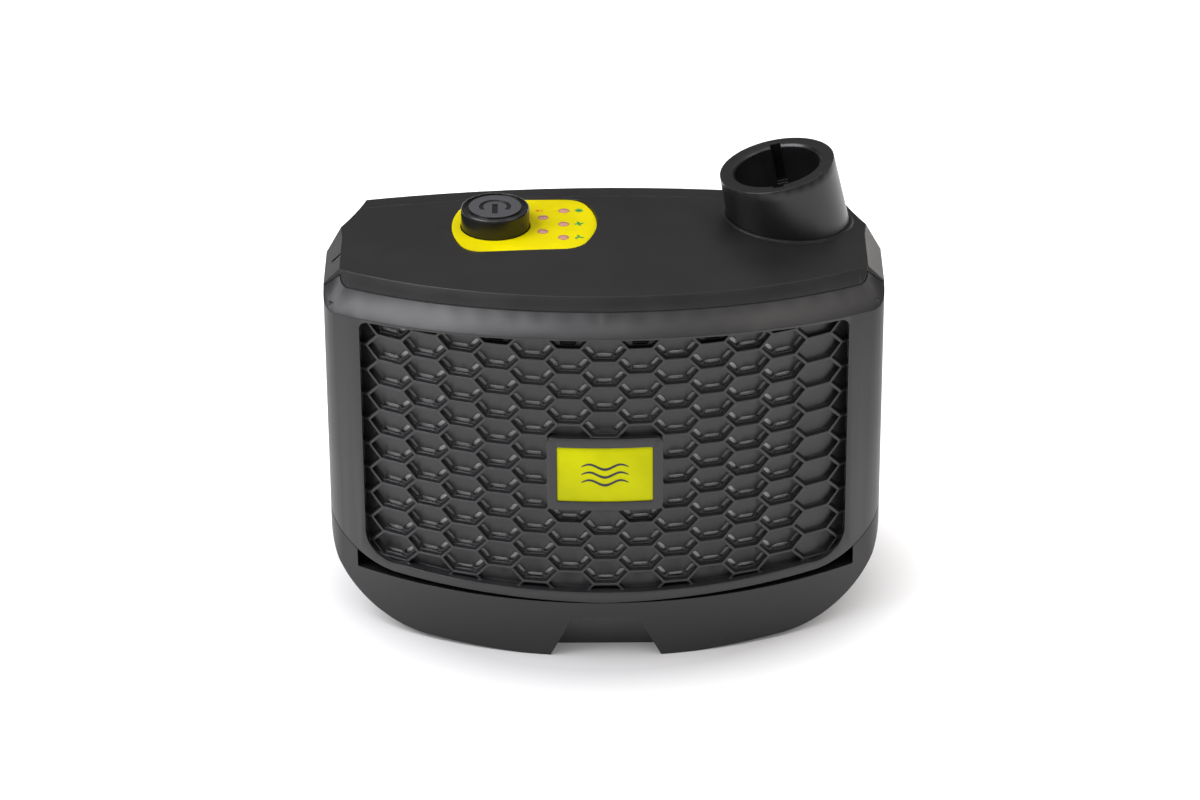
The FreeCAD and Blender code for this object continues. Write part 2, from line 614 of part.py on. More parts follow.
def inner_partition():
    """Plate that closes the filter room, with a barred opening to the fan."""
    z0, z1 = ROOM_Z[0] - WALL + 0.2, ROOM_Z[1] + WALL - 0.2
    plate = box(-103.2, 103.2, ROOM_BACK_Y, ROOM_BACK_Y + 2.5, z0, z1)
    plate = plate.common(casing_envelope(WALL + 0.3))
    hole = cylinder(INLET_R + 1.0, V(FAN_X, -20, FAN_Z), V(FAN_X, 10, FAN_Z))
    bars = [box(FAN_X - 28, FAN_X + 28, ROOM_BACK_Y, ROOM_BACK_Y + 2.0, FAN_Z + d - 1, FAN_Z + d + 1)
            for d in (-12, 0, 12)]
    bars.append(box(FAN_X - 1, FAN_X + 1, ROOM_BACK_Y, ROOM_BACK_Y + 2.0, FAN_Z - 28, FAN_Z + 28))
    plate = fused([plate.cut(hole)] + bars)
    for x, z in fan_lug_points():
        plate = plate.cut(cylinder(1.6, V(x, -10, z), V(x, 10, z)))
    return plate


# ---------------------------------------------------------------- filter cover
def bow_band(outer_r, inner_r):
    """Upright band between two radii round the axis of the bow."""
    axis = V(0, FRONT_Y + FRONT_R, -20)
    band = Part.makeCylinder(outer_r, 240.0, axis).cut(Part.makeCylinder(inner_r, 240.0, axis))
    return band.common(box(-BIG, BIG, -BIG, 0.0, -BIG, BIG))


def opening_prism(grow):
    """Grille opening seen from the front: bowed top edge, wide round lower corners."""
    w, y0 = OPEN_HALF_WIDTH + grow, -BIG / 4
    top, low = OPEN_Z[1] + grow, OPEN_Z[0] - grow
    side_top = top - OPEN_DROP
    side_low = low + OPEN_LOW_CORNER
    corner_x = w - OPEN_LOW_CORNER * 1.15
    corner_z = low + 1.9
    small = 3.2

    def p(x, z):
        return V(x, y0, z)
    mid = p(corner_x + 0.74 * (w - corner_x), corner_z + 0.26 * (side_low - corner_z))
    right = [p(w - small, side_top + 0.35), p(w, side_top - small), p(w, side_low), p(corner_x, corner_z)]
    shoulder = p(w - 0.3 * small, side_top - 0.3 * small)
    flip = lambda v: V(-v.x, v.y, v.z)
    edges = [arc(flip(right[0]), p(0, top), right[0]), arc(right[0], shoulder, right[1]),
             line(right[1], right[2]), arc(right[2], mid, right[3]),
             arc(right[3], p(0, low), flip(right[3])), arc(flip(right[3]), flip(mid), flip(right[2])),
             line(flip(right[2]), flip(right[1])), arc(flip(right[1]), flip(shoulder), flip(right[0]))]
    return prism(edges, V(0, BIG / 3, 0))


def cell_centres():
    """Honeycomb cells: odd columns stand half a row higher or lower."""
    for k in range(-COLUMNS, COLUMNS + 1):
        shift = 0.5 if k % 2 == 0 else 0.0
        for j in range(-1, ROWS + 1):
            yield k, k * CELL_PITCH_X, RIB_Z0 + (j + shift) * CELL_PITCH_Z


def cell_points(x, z, inset):
    """Corners of one honeycomb cell, its edges moved in by inset."""
    half_flat, half_row = CELL_FLAT / 2, CELL_PITCH_Z / 2
    nx, nz = cell_normal()
    reach = nx * half_flat + nz * half_row - inset
    h = half_row - inset
    flat = (reach - nz * h) / nx
    tip = reach / nx
    return [V(x + dx, -100, z + dz) for dx, dz in
            ((-flat, h), (flat, h), (tip, 0), (flat, -h), (-flat, -h), (-tip, 0))]


def cell_normal():
    """Outward normal of a cell's oblique edge."""
    run, rise = CELL_PITCH_X - CELL_FLAT, CELL_PITCH_Z / 2
    length = math.hypot(run, rise)
    return rise / length, run / length


def slot_prism(x, z, angle, length, width):
    """Round-ended slot through the grille floor."""
    half, r = length / 2 - width / 2, width / 2
    ends = [V(-half, 0, r), V(half, 0, r), V(half, 0, -r), V(-half, 0, -r)]
    slot = prism([line(ends[0], ends[1]), arc(ends[1], V(half + r, 0, 0), ends[2]),
                  line(ends[2], ends[3]), arc(ends[3], V(-half - r, 0, 0), ends[0])], V(0, 75, 0))
    slot.rotate(V(0, 0, 0), V(0, 1, 0), angle)
    slot.translate(V(x, -80, z))
    return slot


def floor_slots():
    """Air slots beside the three lower edges of each cell."""
    nx, nz = cell_normal()
    opening = opening_prism(-2.2)
    slots = []
    for k, x, z in cell_centres():
        if abs(k) > 6 or k == 6:
            continue
        level = (x, z - CELL_PITCH_Z / 2 + SLOT_EDGE_GAP, 0.0, SLOT_LEVEL)
        px = x + CELL_PITCH_X / 2 - (SLOT_EDGE_GAP - 0.15) * nx
        pz = z - CELL_PITCH_Z / 4 + (SLOT_EDGE_GAP - 0.15) * nz
        tilt = math.degrees(math.atan2(nx, nz))
        right = (px, pz, -tilt, SLOT_OBLIQUE)
        left = (2 * x - px, pz, tilt, SLOT_OBLIQUE)
        chosen = [level, right] if k == -6 else [level, right, left]
        for sx, sz, angle, (length, width) in chosen:
            near_badge = abs(sx) < BADGE_HALF[0] + 2.5 and abs(sz - BADGE_Z) < BADGE_HALF[1] + 2.0
            if near_badge or not opening.isInside(V(sx, -60, sz), 0.01, True):
                continue
            slots.append(slot_prism(sx, sz, angle, length, width))
    return slots


def badge_block(half_x, half_z, outer_r, inner_r, corner):
    block = box(-half_x, half_x, -80, -40, BADGE_Z - half_z, BADGE_Z + half_z)
    upright = [e for e in block.Edges if e.BoundBox.YLength > 30]
    return block.makeFillet(corner, upright).common(bow_band(outer_r, inner_r))


def grille():
    """Honeycomb ribs standing on a slotted floor, inside a wall round the opening."""
    floor_r = FRONT_R - FLOOR_DEPTH
    tray = bow_band(FRONT_R - 1.2, floor_r - FLOOR_WALL).common(opening_prism(1.8))
    opening = opening_prism(0)
    tray = tray.cut(bow_band(FRONT_R, FRONT_R - RIB_DEPTH).common(opening))
    cells = []
    for k, x, z in cell_centres():
        points = cell_points(x, z, RIB_WIDTH / 2)
        cells.append(polygon_prism(points, V(0, 99, 0)))
    pockets = Part.makeCompound(cells).common(opening.common(bow_band(FRONT_R, floor_r)))
    tray = tray.cut(pockets)
    tray = tray.cut(Part.makeCompound(floor_slots()))
    frame = badge_block(*BADGE_HALF, FRONT_R - 0.9, floor_r - 0.5, 2.5)
    plate = badge_block(*PLATE_HALF, FRONT_R, FRONT_R - 2.4, 0.8)
    return tray.fuse(frame).cut(plate)


def filter_cover():
    skin = cover_envelope(0).cut(cover_envelope(COVER_WALL))
    skin = skin.common(box(-BIG, BIG, -BIG, PARTING_Y - CLEAR, -BIG, BIG))
    skin = skin.cut(seam_prism(CLEAR)).cut(below_cover_edge(0)).cut(opening_prism(0))
    solids = sorted(skin.Solids, key=lambda s: s.Volume)
    tabs = [box(side * TAB_X - 1.1, side * TAB_X + 1.1, -22.0, -5.5, 138.0, 146.0) for side in (-1, 1)]
    return fused([solids[-1]] + tabs + [grille()])


def badge_plate():
    half_x, half_z = PLATE_HALF
    return badge_block(half_x - 0.08, half_z - 0.08, FRONT_R - 1.3, FRONT_R - 2.35, 0.75)


# ---------------------------------------------------------------- filter stack
def band_sheet(outer_r, thickness, half_width, z0, z1):
    sheet = bow_band(outer_r, outer_r - thickness)
    return sheet.common(box(-half_width, half_width, -BIG, 0, z0, z1))


def spark_arrestor():
    return band_sheet(FRONT_R - FLOOR_DEPTH - FLOOR_WALL - 0.4, 0.6, 92.0, 36.5, 144.0)


def prefilter():
    return band_sheet(FRONT_R - FLOOR_DEPTH - FLOOR_WALL - 1.4, 4.0, 91.0, 37.5, 143.0)


def cartridge_block(inset):
    """Cartridge with a bowed front and a flat back."""
    z0, z1 = FILTER_Z
    block = box(-FILTER_HALF + inset, FILTER_HALF - inset, -BIG, FILTER_BACK_Y, z0 + inset, z1 - inset)
    block = block.common(Part.makeCylinder(FILTER_BOW_R, 240.0, V(0, FRONT_Y + FRONT_R, -20)))
    upright = [e for e in block.Edges if e.BoundBox.YLength > 5 and e.BoundBox.XLength < 0.1
               and e.BoundBox.ZLength < 0.1 and e.BoundBox.ZMax < 60]
    return block.makeFillet(10.0 - inset, upright)


def filter_frame():
    frame = cartridge_block(0).cut(cartridge_block(2.0))
    z_mid = sum(FILTER_Z) / 2
    bar = box(-FILTER_HALF + 1, FILTER_HALF - 1, FILTER_BACK_Y - 1.6, FILTER_BACK_Y, z_mid - 2, z_mid + 2)
    return fused([frame, bar])


def filter_media():
    """Pleated sheet: slots enter from the bowed front and from the back in turn."""
    w, pitch, gap, wall = FILTER_HALF - 2.4, 4.1, 1.2, 0.85
    back = FILTER_BACK_Y - 2.0
    centre_y = FRONT_Y + FRONT_R
    front_at = lambda x: centre_y - math.sqrt((FILTER_BOW_R - 1.5) ** 2 - x ** 2)
    count = int(2 * w / pitch)
    z = FILTER_Z[0] + 2.4
    front, rear = [V(-w, front_at(w), z)], [V(-w, back, z)]
    for j in range(count):
        x = -w + wall + j * pitch
        y = front_at(x + gap / 2)
        front += [V(x, y, z), V(x, back - wall, z), V(x + gap, back - wall, z), V(x + gap, y, z)]
        x += pitch / 2
        y = front_at(x + gap / 2) + wall
        rear += [V(x, back, z), V(x, y, z), V(x + gap, y, z), V(x + gap, back, z)]
    end = rear[-1].x + wall
    points = front + [V(end, front_at(end), z), V(end, back, z)] + rear[::-1]
    block = polygon_prism(points, V(0, 0, FILTER_Z[1] - FILTER_Z[0] - 4.8))
    return block.common(cartridge_block(2.3))


def filter_gasket():
    z0, z1 = FILTER_Z
    w = FILTER_HALF
    outer = box(-w, w, FILTER_BACK_Y + 0.2, ROOM_BACK_Y - 0.2, z0, z1)
    return outer.cut(box(-w + 8, w - 8, -20, 0, z0 + 8, z1 - 8))


# ---------------------------------------------------------------- keypad and electronics
def keypad_panel():
    panel = prism(keypad_outline(0, -KEYPAD_THICK + 0.02), V(0, 0, KEYPAD_THICK - 0.02))
    panel = panel.cut(pin_at(BUTTON_XY, BUTTON_R + 0.3, -5, 5))
    for point in LED_XY:
        panel = panel.cut(pin_at(point, LED_R + 0.1, -5, 5))
    return placed_on_keypad(panel)


def led_lenses():
    """Domed light guides from the board to the keypad's face."""
    lenses = []
    for point in LED_XY:
        x, y = local_xy(point)
        pin = pin_at(point, LED_R, -1.6, 0.0).fuse(pin_at(point, 1.5, -8.4, -1.5))
        dome_r = 8.0
        dome = Part.makeSphere(dome_r, V(x, y, 0.28 - dome_r))
        pin = pin.fuse(dome.common(pin_at(point, LED_R, 0.0, 1.0)))
        lenses.append(placed_on_keypad(pin.removeSplitter()))
    return Part.makeCompound(lenses)


def power_button():
    """Round cap whose flat disc carries a sunk power sign, with a retaining flange."""
    x, y = local_xy(BUTTON_XY)
    top = BUTTON_PROUD
    groove_r, groove_deep = BUTTON_GROOVE
    cap = pin_at(BUTTON_XY, BUTTON_R, -4.4, top)
    rim = [e for e in cap.Edges if e.BoundBox.ZMin > top - 0.1 and e.BoundBox.XLength > 2]
    cap = cap.makeFillet(1.1, rim)
    groove = pin_at(BUTTON_XY, groove_r, top - groove_deep, top + 1)
    cap = cap.cut(groove.cut(pin_at(BUTTON_XY, BUTTON_DISC_R, top - 2, top + 2)))
    flange = pin_at(BUTTON_XY, BUTTON_R + 1.3, -4.5, -3.35)
    hollow = pin_at(BUTTON_XY, 11.8, -9.0, top - 3.4)
    stem = pin_at(BUTTON_XY, 2.2, -4.6, top - 3.0)
    cap = cap.fuse(flange).cut(hollow).fuse(stem).removeSplitter()
    ring = pin_at(BUTTON_XY, 6.45, top - 0.5, top + 1).cut(pin_at(BUTTON_XY, 4.75, top - 1, top + 2))
    ring = ring.common(box(x - 8, x + 8, y - 2.9, y + 8, top - 2, top + 2))
    bar = box(x - 1.1, x + 1.1, y - 6.7, y + 2.6, top - 0.5, top + 1)
    return placed_on_keypad(cap.cut(ring).cut(bar))


def button_spring():
    """Coil spring, swept along a many-sided helix."""
    coil_r, wire_r, turns, sides = 8.0, 0.45, 5, 16
    low, high = -9.3, BUTTON_PROUD - 3.9
    x, y = local_xy(BUTTON_XY)
    points = []
    for i in range(turns * sides + 1):
        angle = 2 * math.pi * i / sides
        rise = (high - low) * i / (turns * sides)
        points.append(V(x + coil_r * math.cos(angle), y + coil_r * math.sin(angle), low + rise))
    profile = Part.Wire([Part.makeCircle(wire_r, points[0], points[1] - points[0])])
    return placed_on_keypad(Part.makePolygon(points).makePipeShell([profile], True, False, 1))


def power_switch():
    x, y = local_xy(BUTTON_XY)
    body = box(x - 3, x + 3, y - 3, y + 3, BOARD_TOP + 0.02, BOARD_TOP + 2.6)
    plunger = pin_at(BUTTON_XY, 1.7, BOARD_TOP + 2, BOARD_TOP + 3.55)
    return placed_on_keypad(body.fuse(plunger).removeSplitter())


def board_holes():
    return [(BOARD_XY[0] + 4, BOARD_XY[2] + 3), (BOARD_XY[1] - 4, BOARD_XY[2] + 3),
            (BOARD_XY[0] + 4, BOARD_XY[3] - 3), (BOARD_XY[1] - 4, BOARD_XY[3] - 3)]


def control_board():
    x0, x1, y0, y1 = BOARD_XY
    a, b = local_xy((x0, y0)), local_xy((x1, y1))
    board = box(a[0], b[0], a[1], b[1], BOARD_TOP - 1.6, BOARD_TOP)
    for point in board_holes():
        board = board.cut(pin_at(point, 1.4, -20, 0))
    return placed_on_keypad(board)


def board_components():
    """Controller, driver, connectors and the lamps under the light guides."""
    parts = []
    packages = ((-23.5, 8, 6, 6, 1.2), (1.5, -11, 5, 5, 1.4), (2, 15, 9, 4, 2.4), (23.5, 3, 5, 8, 3.0))
    for x, y, w, d, h in packages:
        parts.append(box(x - w / 2, x + w / 2, y - d / 2, y + d / 2, BOARD_TOP + 0.02, BOARD_TOP + h))
    for point in LED_XY:
        x, y = local_xy(point)
        parts.append(box(x - 1.2, x + 1.2, y - 1.2, y + 1.2, BOARD_TOP + 0.02, BOARD_TOP + 1.0))
    return Part.makeCompound([placed_on_keypad(p) for p in parts])


def board_screws():
    screws = []
    for point in board_holes():
        x, y = local_xy(point)
        screws.append(placed_on_keypad(screw(V(x, y, BOARD_TOP - 1.62), V(0, 0, -1), 2.4, 1.4, 1.3, 5.2)))
    return Part.makeCompound(screws)


def alarm_buzzer():
    body = pin_at((-50.0, 21.0), 5.5, BOARD_TOP - 7.0, BOARD_TOP - 1.65)
    return placed_on_keypad(body.cut(pin_at((-50.0, 21.0), 1.1, BOARD_TOP - 8, BOARD_TOP - 5.5)))


# ---------------------------------------------------------------- fan and motor
def spiral_point(degrees, extra, y):
    """Point on the fan housing's spiral; the radius grows from the cut-off to the outlet."""
    start, end = SPIRAL_TURN
    r = SCROLL_R[0] + (SCROLL_R[1] - SCROLL_R[0]) * (degrees - start) / (end - start) + extra
    a = math.radians(degrees)
    return V(FAN_X + r * math.cos(a), y, FAN_Z + r * math.sin(a))


def scroll_block(extra, y0, y1):
    """Spiral chamber and its upright outlet channel as one solid."""
    start, end = SPIRAL_TURN
    points = [spiral_point(start + i * (end - start) / 12, extra, y0) for i in range(13)]
    curve = Part.BSplineCurve()
    curve.interpolate(points)
    hub = V(FAN_X, y0, FAN_Z)
    spiral = prism([curve.toShape(), line(points[-1], hub), line(hub, points[0])], V(0, y1 - y0, 0))
    round_part = cylinder(SCROLL_R[0] + extra, hub, V(FAN_X, y1, FAN_Z))
    channel = box(DUCT_X[0] - extra, DUCT_X[1] + extra, y0, y1, FAN_Z, DUCT_Z[0] - 0.2)
    return fused([spiral, round_part, channel])


def fan_lug_points():
    points = [spiral_point(turn, 4.4, 0) for turn in FAN_LUG_TURNS]
    return [(p.x, p.z) for p in points]


def fan_scroll():
    y0, y1 = SCROLL_Y[0] + 2.1, SCROLL_Y[1]
    body = scroll_block(2.0, y0, y1)
    lugs = [cylinder(3.6, V(x, y0, z), V(x, y0 + 13, z)) for x, z in fan_lug_points()]
    body = fused([body] + lugs).cut(scroll_block(0.0, y0 - 1, y1 - 2.0))
    body = body.cut(box(DUCT_X[0], DUCT_X[1], y0 - 1, y1 - 2.0, DUCT_Z[0] - 5, DUCT_Z[0] + 1))
    body = body.cut(cylinder(6.0, V(FAN_X, 0, FAN_Z), V(FAN_X, 60, FAN_Z)))
    for x, z in fan_lug_points():
        body = body.cut(cylinder(1.5, V(x, -5, z), V(x, y0 + 12, z)))
    return body


def fan_inlet_plate():
    y0 = SCROLL_Y[0]
    plate = scroll_block(2.0, y0, y0 + 2.0)
    lugs = [cylinder(3.6, V(x, ROOM_BACK_Y + 2.55, z), V(x, y0 + 2.0, z)) for x, z in fan_lug_points()]
    ring = cylinder(INLET_R + 1.8, V(FAN_X, ROOM_BACK_Y + 2.7, FAN_Z), V(FAN_X, y0 + 2, FAN_Z))
    plate = fused([plate, ring] + lugs)
    plate = plate.cut(cylinder(INLET_R, V(FAN_X, -20, FAN_Z), V(FAN_X, 20, FAN_Z)))
    for x, z in fan_lug_points():
        plate = plate.cut(cylinder(1.6, V(x, -5, z), V(x, 10, z)))
    return plate


def fan_screws():
    """Long screws from the filter room through partition and inlet plate into the lugs."""
    front, y = V(0, -1, 0), ROOM_BACK_Y - 0.03
    return Part.makeCompound([screw(V(x, y, z), front, 2.6, 1.4, 1.4, 15.0) for x, z in fan_lug_points()])


def ring_y(outer_r, inner_r, y0, y1):
    return tube(outer_r, inner_r, V(FAN_X, y0, FAN_Z), V(FAN_X, y1, FAN_Z))


def impeller():
    """Forward-curved blades between a hub disc and a front ring."""
    y0, y1 = SCROLL_Y[0] + 3.4, SCROLL_Y[1] - 3.2
    disc = cylinder(IMPELLER_R, V(FAN_X, y1 - 1.6, FAN_Z), V(FAN_X, y1, FAN_Z))
    hub = Part.makeCone(11.0, 6.0, 12.0, V(FAN_X, y1 - 1.0, FAN_Z), V(0, -1, 0))
    ring = ring_y(IMPELLER_R, IMPELLER_R - 3.0, y0, y0 + 1.5)
    blades = []
    inner, outer = IMPELLER_R - 9.0, IMPELLER_R - 0.3
    for i in range(IMPELLER_BLADES):
        a = 360.0 / IMPELLER_BLADES * i
        at = lambda r, turn: V(r * math.cos(math.radians(turn)), y0 + 0.5, r * math.sin(math.radians(turn)))
        face = Part.Face(Part.Wire([arc(at(inner, 0), at(inner + 4.6, -1.5), at(outer, 4.0)),
                                    line(at(outer, 4.0), at(outer, 5.6)),
                                    arc(at(outer, 5.6), at(inner + 4.4, 1.0), at(inner, 2.0)),
                                    line(at(inner, 2.0), at(inner, 0))]))
        blade = face.extrude(V(0, y1 - y0 - 1.2, 0))
        blade.rotate(V(0, 0, 0), V(0, 1, 0), a)
        blade.translate(V(FAN_X, 0, FAN_Z))
        blades.append(blade)
    wheel = disc.multiFuse([hub, ring] + blades).removeSplitter()
    return wheel.cut(cylinder(2.02, V(FAN_X, -5, FAN_Z), V(FAN_X, 60, FAN_Z)))


def motor_shaft():
    return cylinder(2.0, V(FAN_X, SHAFT_Y[0], FAN_Z), V(FAN_X, SHAFT_Y[1], FAN_Z))


def motor_bearings():
    rings = []
    for y in BEARING_Y:
        ring = ring_y(4.5, 2.05, y, y + 3.5)
        groove = ring_y(3.9, 2.7, y - 0.1, y + 0.3)
        rings.append(ring.cut(groove))
    return Part.makeCompound(rings)


def motor_damper():
    return ring_y(17.0, 12.0, SCROLL_Y[1] + 0.05, SCROLL_Y[1] + 0.95)


def motor_can():
    """Cup round the stator with the front bearing seat in its floor."""
    y0 = SCROLL_Y[1] + 1.0
    can = ring_y(18.0, 16.5, y0, MOTOR_END_Y).fuse(ring_y(17.0, 5.0, y0, y0 + 1.5))
    seat = ring_y(6.0, 4.55, y0 + 0.5, BEARING_Y[0] + 3.5)
    return fused([can, ring_y(6.0, 2.6, y0, BEARING_Y[0] - 0.05), seat])


def motor_end_cap():
    y0 = MOTOR_END_Y + 0.05
    return fused([ring_y(18.0, 4.55, y0, y0 + 1.8), ring_y(6.2, 4.55, y0, BEARING_Y[1] + 3.5)])


def stator():
    core = ring_y(16.4, 13.4, STATOR_Y[0], STATOR_Y[1])
    teeth = []
    for i in range(9):
        tooth = box(9.4, 14.0, STATOR_Y[0], STATOR_Y[1], -2.3, 2.3)
        tooth.rotate(V(0, 0, 0), V(0, 1, 0), 40.0 * i)
        tooth.translate(V(FAN_X, 0, FAN_Z))
        teeth.append(tooth)
    return core.multiFuse(teeth).removeSplitter().cut(ring_y(9.3, 1.0, 0, 60))


def rotor_magnet():
    return ring_y(8.9, 2.02, STATOR_Y[0] + 0.3, STATOR_Y[1] - 0.3)


# ---------------------------------------------------------------- battery
def battery_box(inset, z0, z1):
    w = BATTERY_HALF_WIDTH - inset
    return box(-w, w, BATTERY_Y[0] + inset, BATTERY_Y[1] - inset, z0, z1)


def battery_case():
    z0, z1 = BATTERY_Z
    case = battery_box(0, z0, z1 - 2.0)
    case = case.cut(battery_box(1.6, z0 + 1.8, z1))
    pull = box(-14, 14, 17.0, 23.0, z0 - 1, z0 + 1.0)
    return case.cut(pull)


def battery_lid():
    z1 = BATTERY_Z[1]
    lid = battery_box(0, z1 - 1.98, z1)
    for x in CONTACT_X:
        lid = lid.cut(box(x - 3.4, x + 3.4, 14.6, 23.4, z1 - 3, z1 + 1))
    return lid


def battery_cells():
    cells = []
    y_mid, z_low = sum(BATTERY_Y) / 2, BATTERY_Z[0] + 1.9 + CELL_R
    for x in (-CELL_L - 0.6, 0.6):
        for dy in (-CELL_R - 0.2, CELL_R + 0.2):
            for dz in (0.0, 2 * CELL_R + 0.2):
                cell = cylinder(CELL_R, V(x, y_mid + dy, z_low + dz), V(x + CELL_L, y_mid + dy, z_low + dz))
                cells.append(cell)
    return Part.makeCompound(cells)


def cell_links():
    """Nickel strips across the cell ends."""
    y_mid, z_low = sum(BATTERY_Y) / 2, BATTERY_Z[0] + 1.9 + CELL_R
    strips = []
    for x in (-CELL_L - 0.85, CELL_L + 0.65):
        for dz in (0.0, 2 * CELL_R + 0.2):
            strips.append(box(x, x + 0.2, y_mid - 13, y_mid + 13, z_low + dz - 3, z_low + dz + 3))
    return Part.makeCompound(strips)


def battery_contacts():
    """Spring clips in the lid's slots: two leaves, a bridge below and a flange above."""
    clips = []
    top = BATTERY_Z[1] - 0.4
    for x in CONTACT_X:
        parts = [box(x - 1.15, x + 1.15, 15.2, 22.8, top - 2.2, top - 1.9)]
        for side in (-1, 1):
            parts.append(box(x + side * 0.85 - 0.3, x + side * 0.85 + 0.3, 15.2, 22.8, top - 2.2, top))
            parts.append(box(x + side * 2.0 - 1.35, x + side * 2.0 + 1.35, 15.2, 22.8, top - 0.3, top))
        clips.append(fused(parts))
    return Part.makeCompound(clips)


def blade(x, grow):
    """Upright contact blade from the socket block down into the pack."""
    z0, z1 = BATTERY_Z[1] - 1.9, BATTERY_Z[1] + 5.4
    return box(x - 0.5 - grow, x + 0.5 + grow, 16 - grow, 22 + grow, z0, z1 + grow)


def battery_socket():
    """Block on the bay's roof that holds the contact blades."""
    z_roof = BATTERY_Z[1] + 2.6
    block = box(CONTACT_X[0] - 5, CONTACT_X[-1] + 5, 12, 26, z_roof + 0.05, z_roof + 5)
    for x in CONTACT_X:
        block = block.cut(blade(x, 0.05))
    return block


def contact_blades():
    return Part.makeCompound([blade(x, 0.0) for x in CONTACT_X])


def battery_latch():
    """Sprung slider in front of the battery; the thumb pushes it forward."""
    w = BAT_LATCH_HALF
    plate = box(-w, w, -9.0, -1.6, 1.2, 4.0)
    grip = [box(-w + 3, w - 3, y, y + 0.9, 0.6, 1.3) for y in (-7.6, -5.8, -4.0)]
    rails = box(-w - 2, w + 2, -8.6, -3.6, 2.65, 4.0)
    nose = box(-5, 5, -1.7, -1.15, 1.6, 3.6)
    posts = [box(x - 1.5, x + 1.5, -8.0, -4.0, 3.9, 7.6) for x in (-w + 3, w - 3)]
    return fused([plate, rails, nose] + grip + posts)


def cover_latch():
    """Slider beside the filter room: an arm to the cover's tab and a ridge under the slit."""
    x, (y0, y1) = LATCH_X, LATCH_Y
    body = box(x - 1.2, x + 1.8, y0, y1, 139.0, 149.6)
    arm = box(x + 0.6, x + 1.8, -10.6, y0 + 0.5, 139.5, 145.0)
    ridge = box(x - 0.2, x + 1.4, y0 + 0.1, y0 + 1.1, 149.0, 150.4)
    return fused([body, arm, ridge])


def cable(points, radius):
    spans = [cylinder(radius, V(*a), V(*b)) for a, b in zip(points, points[1:])]
    knots = [Part.makeSphere(radius, V(*p)) for p in points[1:-1]]
    return spans[0].multiFuse(spans[1:] + knots).removeSplitter()


def motor_lead():
    return cable([(FAN_X - 8.5, 42.0, FAN_Z + 21), (-30.0, 42.0, 124.0), (-30.0, 34.0, 143.0)], 1.5)


def battery_lead():
    return cable([(CONTACT_X[0], 19.0, BATTERY_Z[1] + 9.5), (-50.0, 19.0, 66.0), (-58.0, 10.0, 100.0),
                  (-54.0, 8.0, 143.0)], 1.6)


# ---------------------------------------------------------------- all sub-parts
NODES = {
    "main_casing": main_casing, "rear_cover": rear_cover, "rear_screws": rear_screws,
    "belt_hook_left": lambda: belt_hook(-1), "belt_hook_right": lambda: belt_hook(1),
    "hook_screws": hook_screws, "hose_socket": hose_socket, "socket_seal": socket_seal,
    "outlet_duct": outlet_duct, "inner_partition": inner_partition,
    "filter_cover": filter_cover, "badge_plate": badge_plate, "spark_arrestor": spark_arrestor,
    "prefilter": prefilter, "filter_frame": filter_frame, "filter_media": filter_media,
    "filter_gasket": filter_gasket, "keypad_panel": keypad_panel, "led_lenses": led_lenses,
    "power_button": power_button, "button_spring": button_spring, "power_switch": power_switch,
    "control_board": control_board, "board_components": board_components, "board_screws": board_screws,
    "alarm_buzzer": alarm_buzzer, "fan_inlet_plate": fan_inlet_plate, "fan_scroll": fan_scroll,
    "fan_screws": fan_screws, "impeller": impeller, "motor_shaft": motor_shaft,
    "rotor_magnet": rotor_magnet, "motor_bearings": motor_bearings, "motor_damper": motor_damper,
    "motor_can": motor_can, "motor_end_cap": motor_end_cap, "stator": stator,
    "battery_case": battery_case, "battery_lid": battery_lid, "battery_cells": battery_cells,
    "cell_links": cell_links, "battery_contacts": battery_contacts, "battery_socket": battery_socket,
    "contact_blades": contact_blades, "battery_latch": battery_latch, "cover_latch": cover_latch,
    "motor_lead": motor_lead, "battery_lead": battery_lead,
}

if __name__ == "__main__":
    os.makedirs("parts", exist_ok=True)
    for name, make in NODES.items():
        shape = make()
        print(name, len(shape.Solids), "valid" if shape.isValid() else "INVALID", round(shape.Volume))
        shape.exportStep("parts/%s.step" % name)
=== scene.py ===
import json
import math

import bpy
import bmesh
from mathutils import Matrix, Vector, noise


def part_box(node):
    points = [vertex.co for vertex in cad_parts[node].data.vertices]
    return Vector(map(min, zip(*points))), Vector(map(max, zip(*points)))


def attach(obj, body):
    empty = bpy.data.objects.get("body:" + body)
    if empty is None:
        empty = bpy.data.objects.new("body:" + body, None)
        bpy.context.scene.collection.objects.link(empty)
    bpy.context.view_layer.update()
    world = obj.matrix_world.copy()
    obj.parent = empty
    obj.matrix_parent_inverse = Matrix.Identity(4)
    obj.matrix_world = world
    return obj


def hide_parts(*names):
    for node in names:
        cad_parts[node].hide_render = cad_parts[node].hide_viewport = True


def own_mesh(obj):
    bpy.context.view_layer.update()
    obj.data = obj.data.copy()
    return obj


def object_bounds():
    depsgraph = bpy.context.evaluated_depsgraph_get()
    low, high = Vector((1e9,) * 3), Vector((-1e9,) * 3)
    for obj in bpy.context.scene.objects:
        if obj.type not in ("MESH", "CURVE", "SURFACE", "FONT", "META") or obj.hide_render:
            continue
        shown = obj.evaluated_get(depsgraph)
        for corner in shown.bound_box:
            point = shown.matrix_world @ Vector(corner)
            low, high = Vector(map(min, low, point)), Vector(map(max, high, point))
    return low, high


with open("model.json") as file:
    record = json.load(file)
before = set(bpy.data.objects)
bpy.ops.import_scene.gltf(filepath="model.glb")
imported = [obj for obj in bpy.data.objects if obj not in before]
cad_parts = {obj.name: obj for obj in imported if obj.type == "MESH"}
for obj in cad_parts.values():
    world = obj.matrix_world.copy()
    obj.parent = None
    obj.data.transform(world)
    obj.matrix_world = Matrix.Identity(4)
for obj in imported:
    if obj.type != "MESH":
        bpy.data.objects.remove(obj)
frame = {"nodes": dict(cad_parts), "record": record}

MM = 0.001
KEYPAD_TILT_DEG = 2.0       # the keypad's face falls this much towards the back
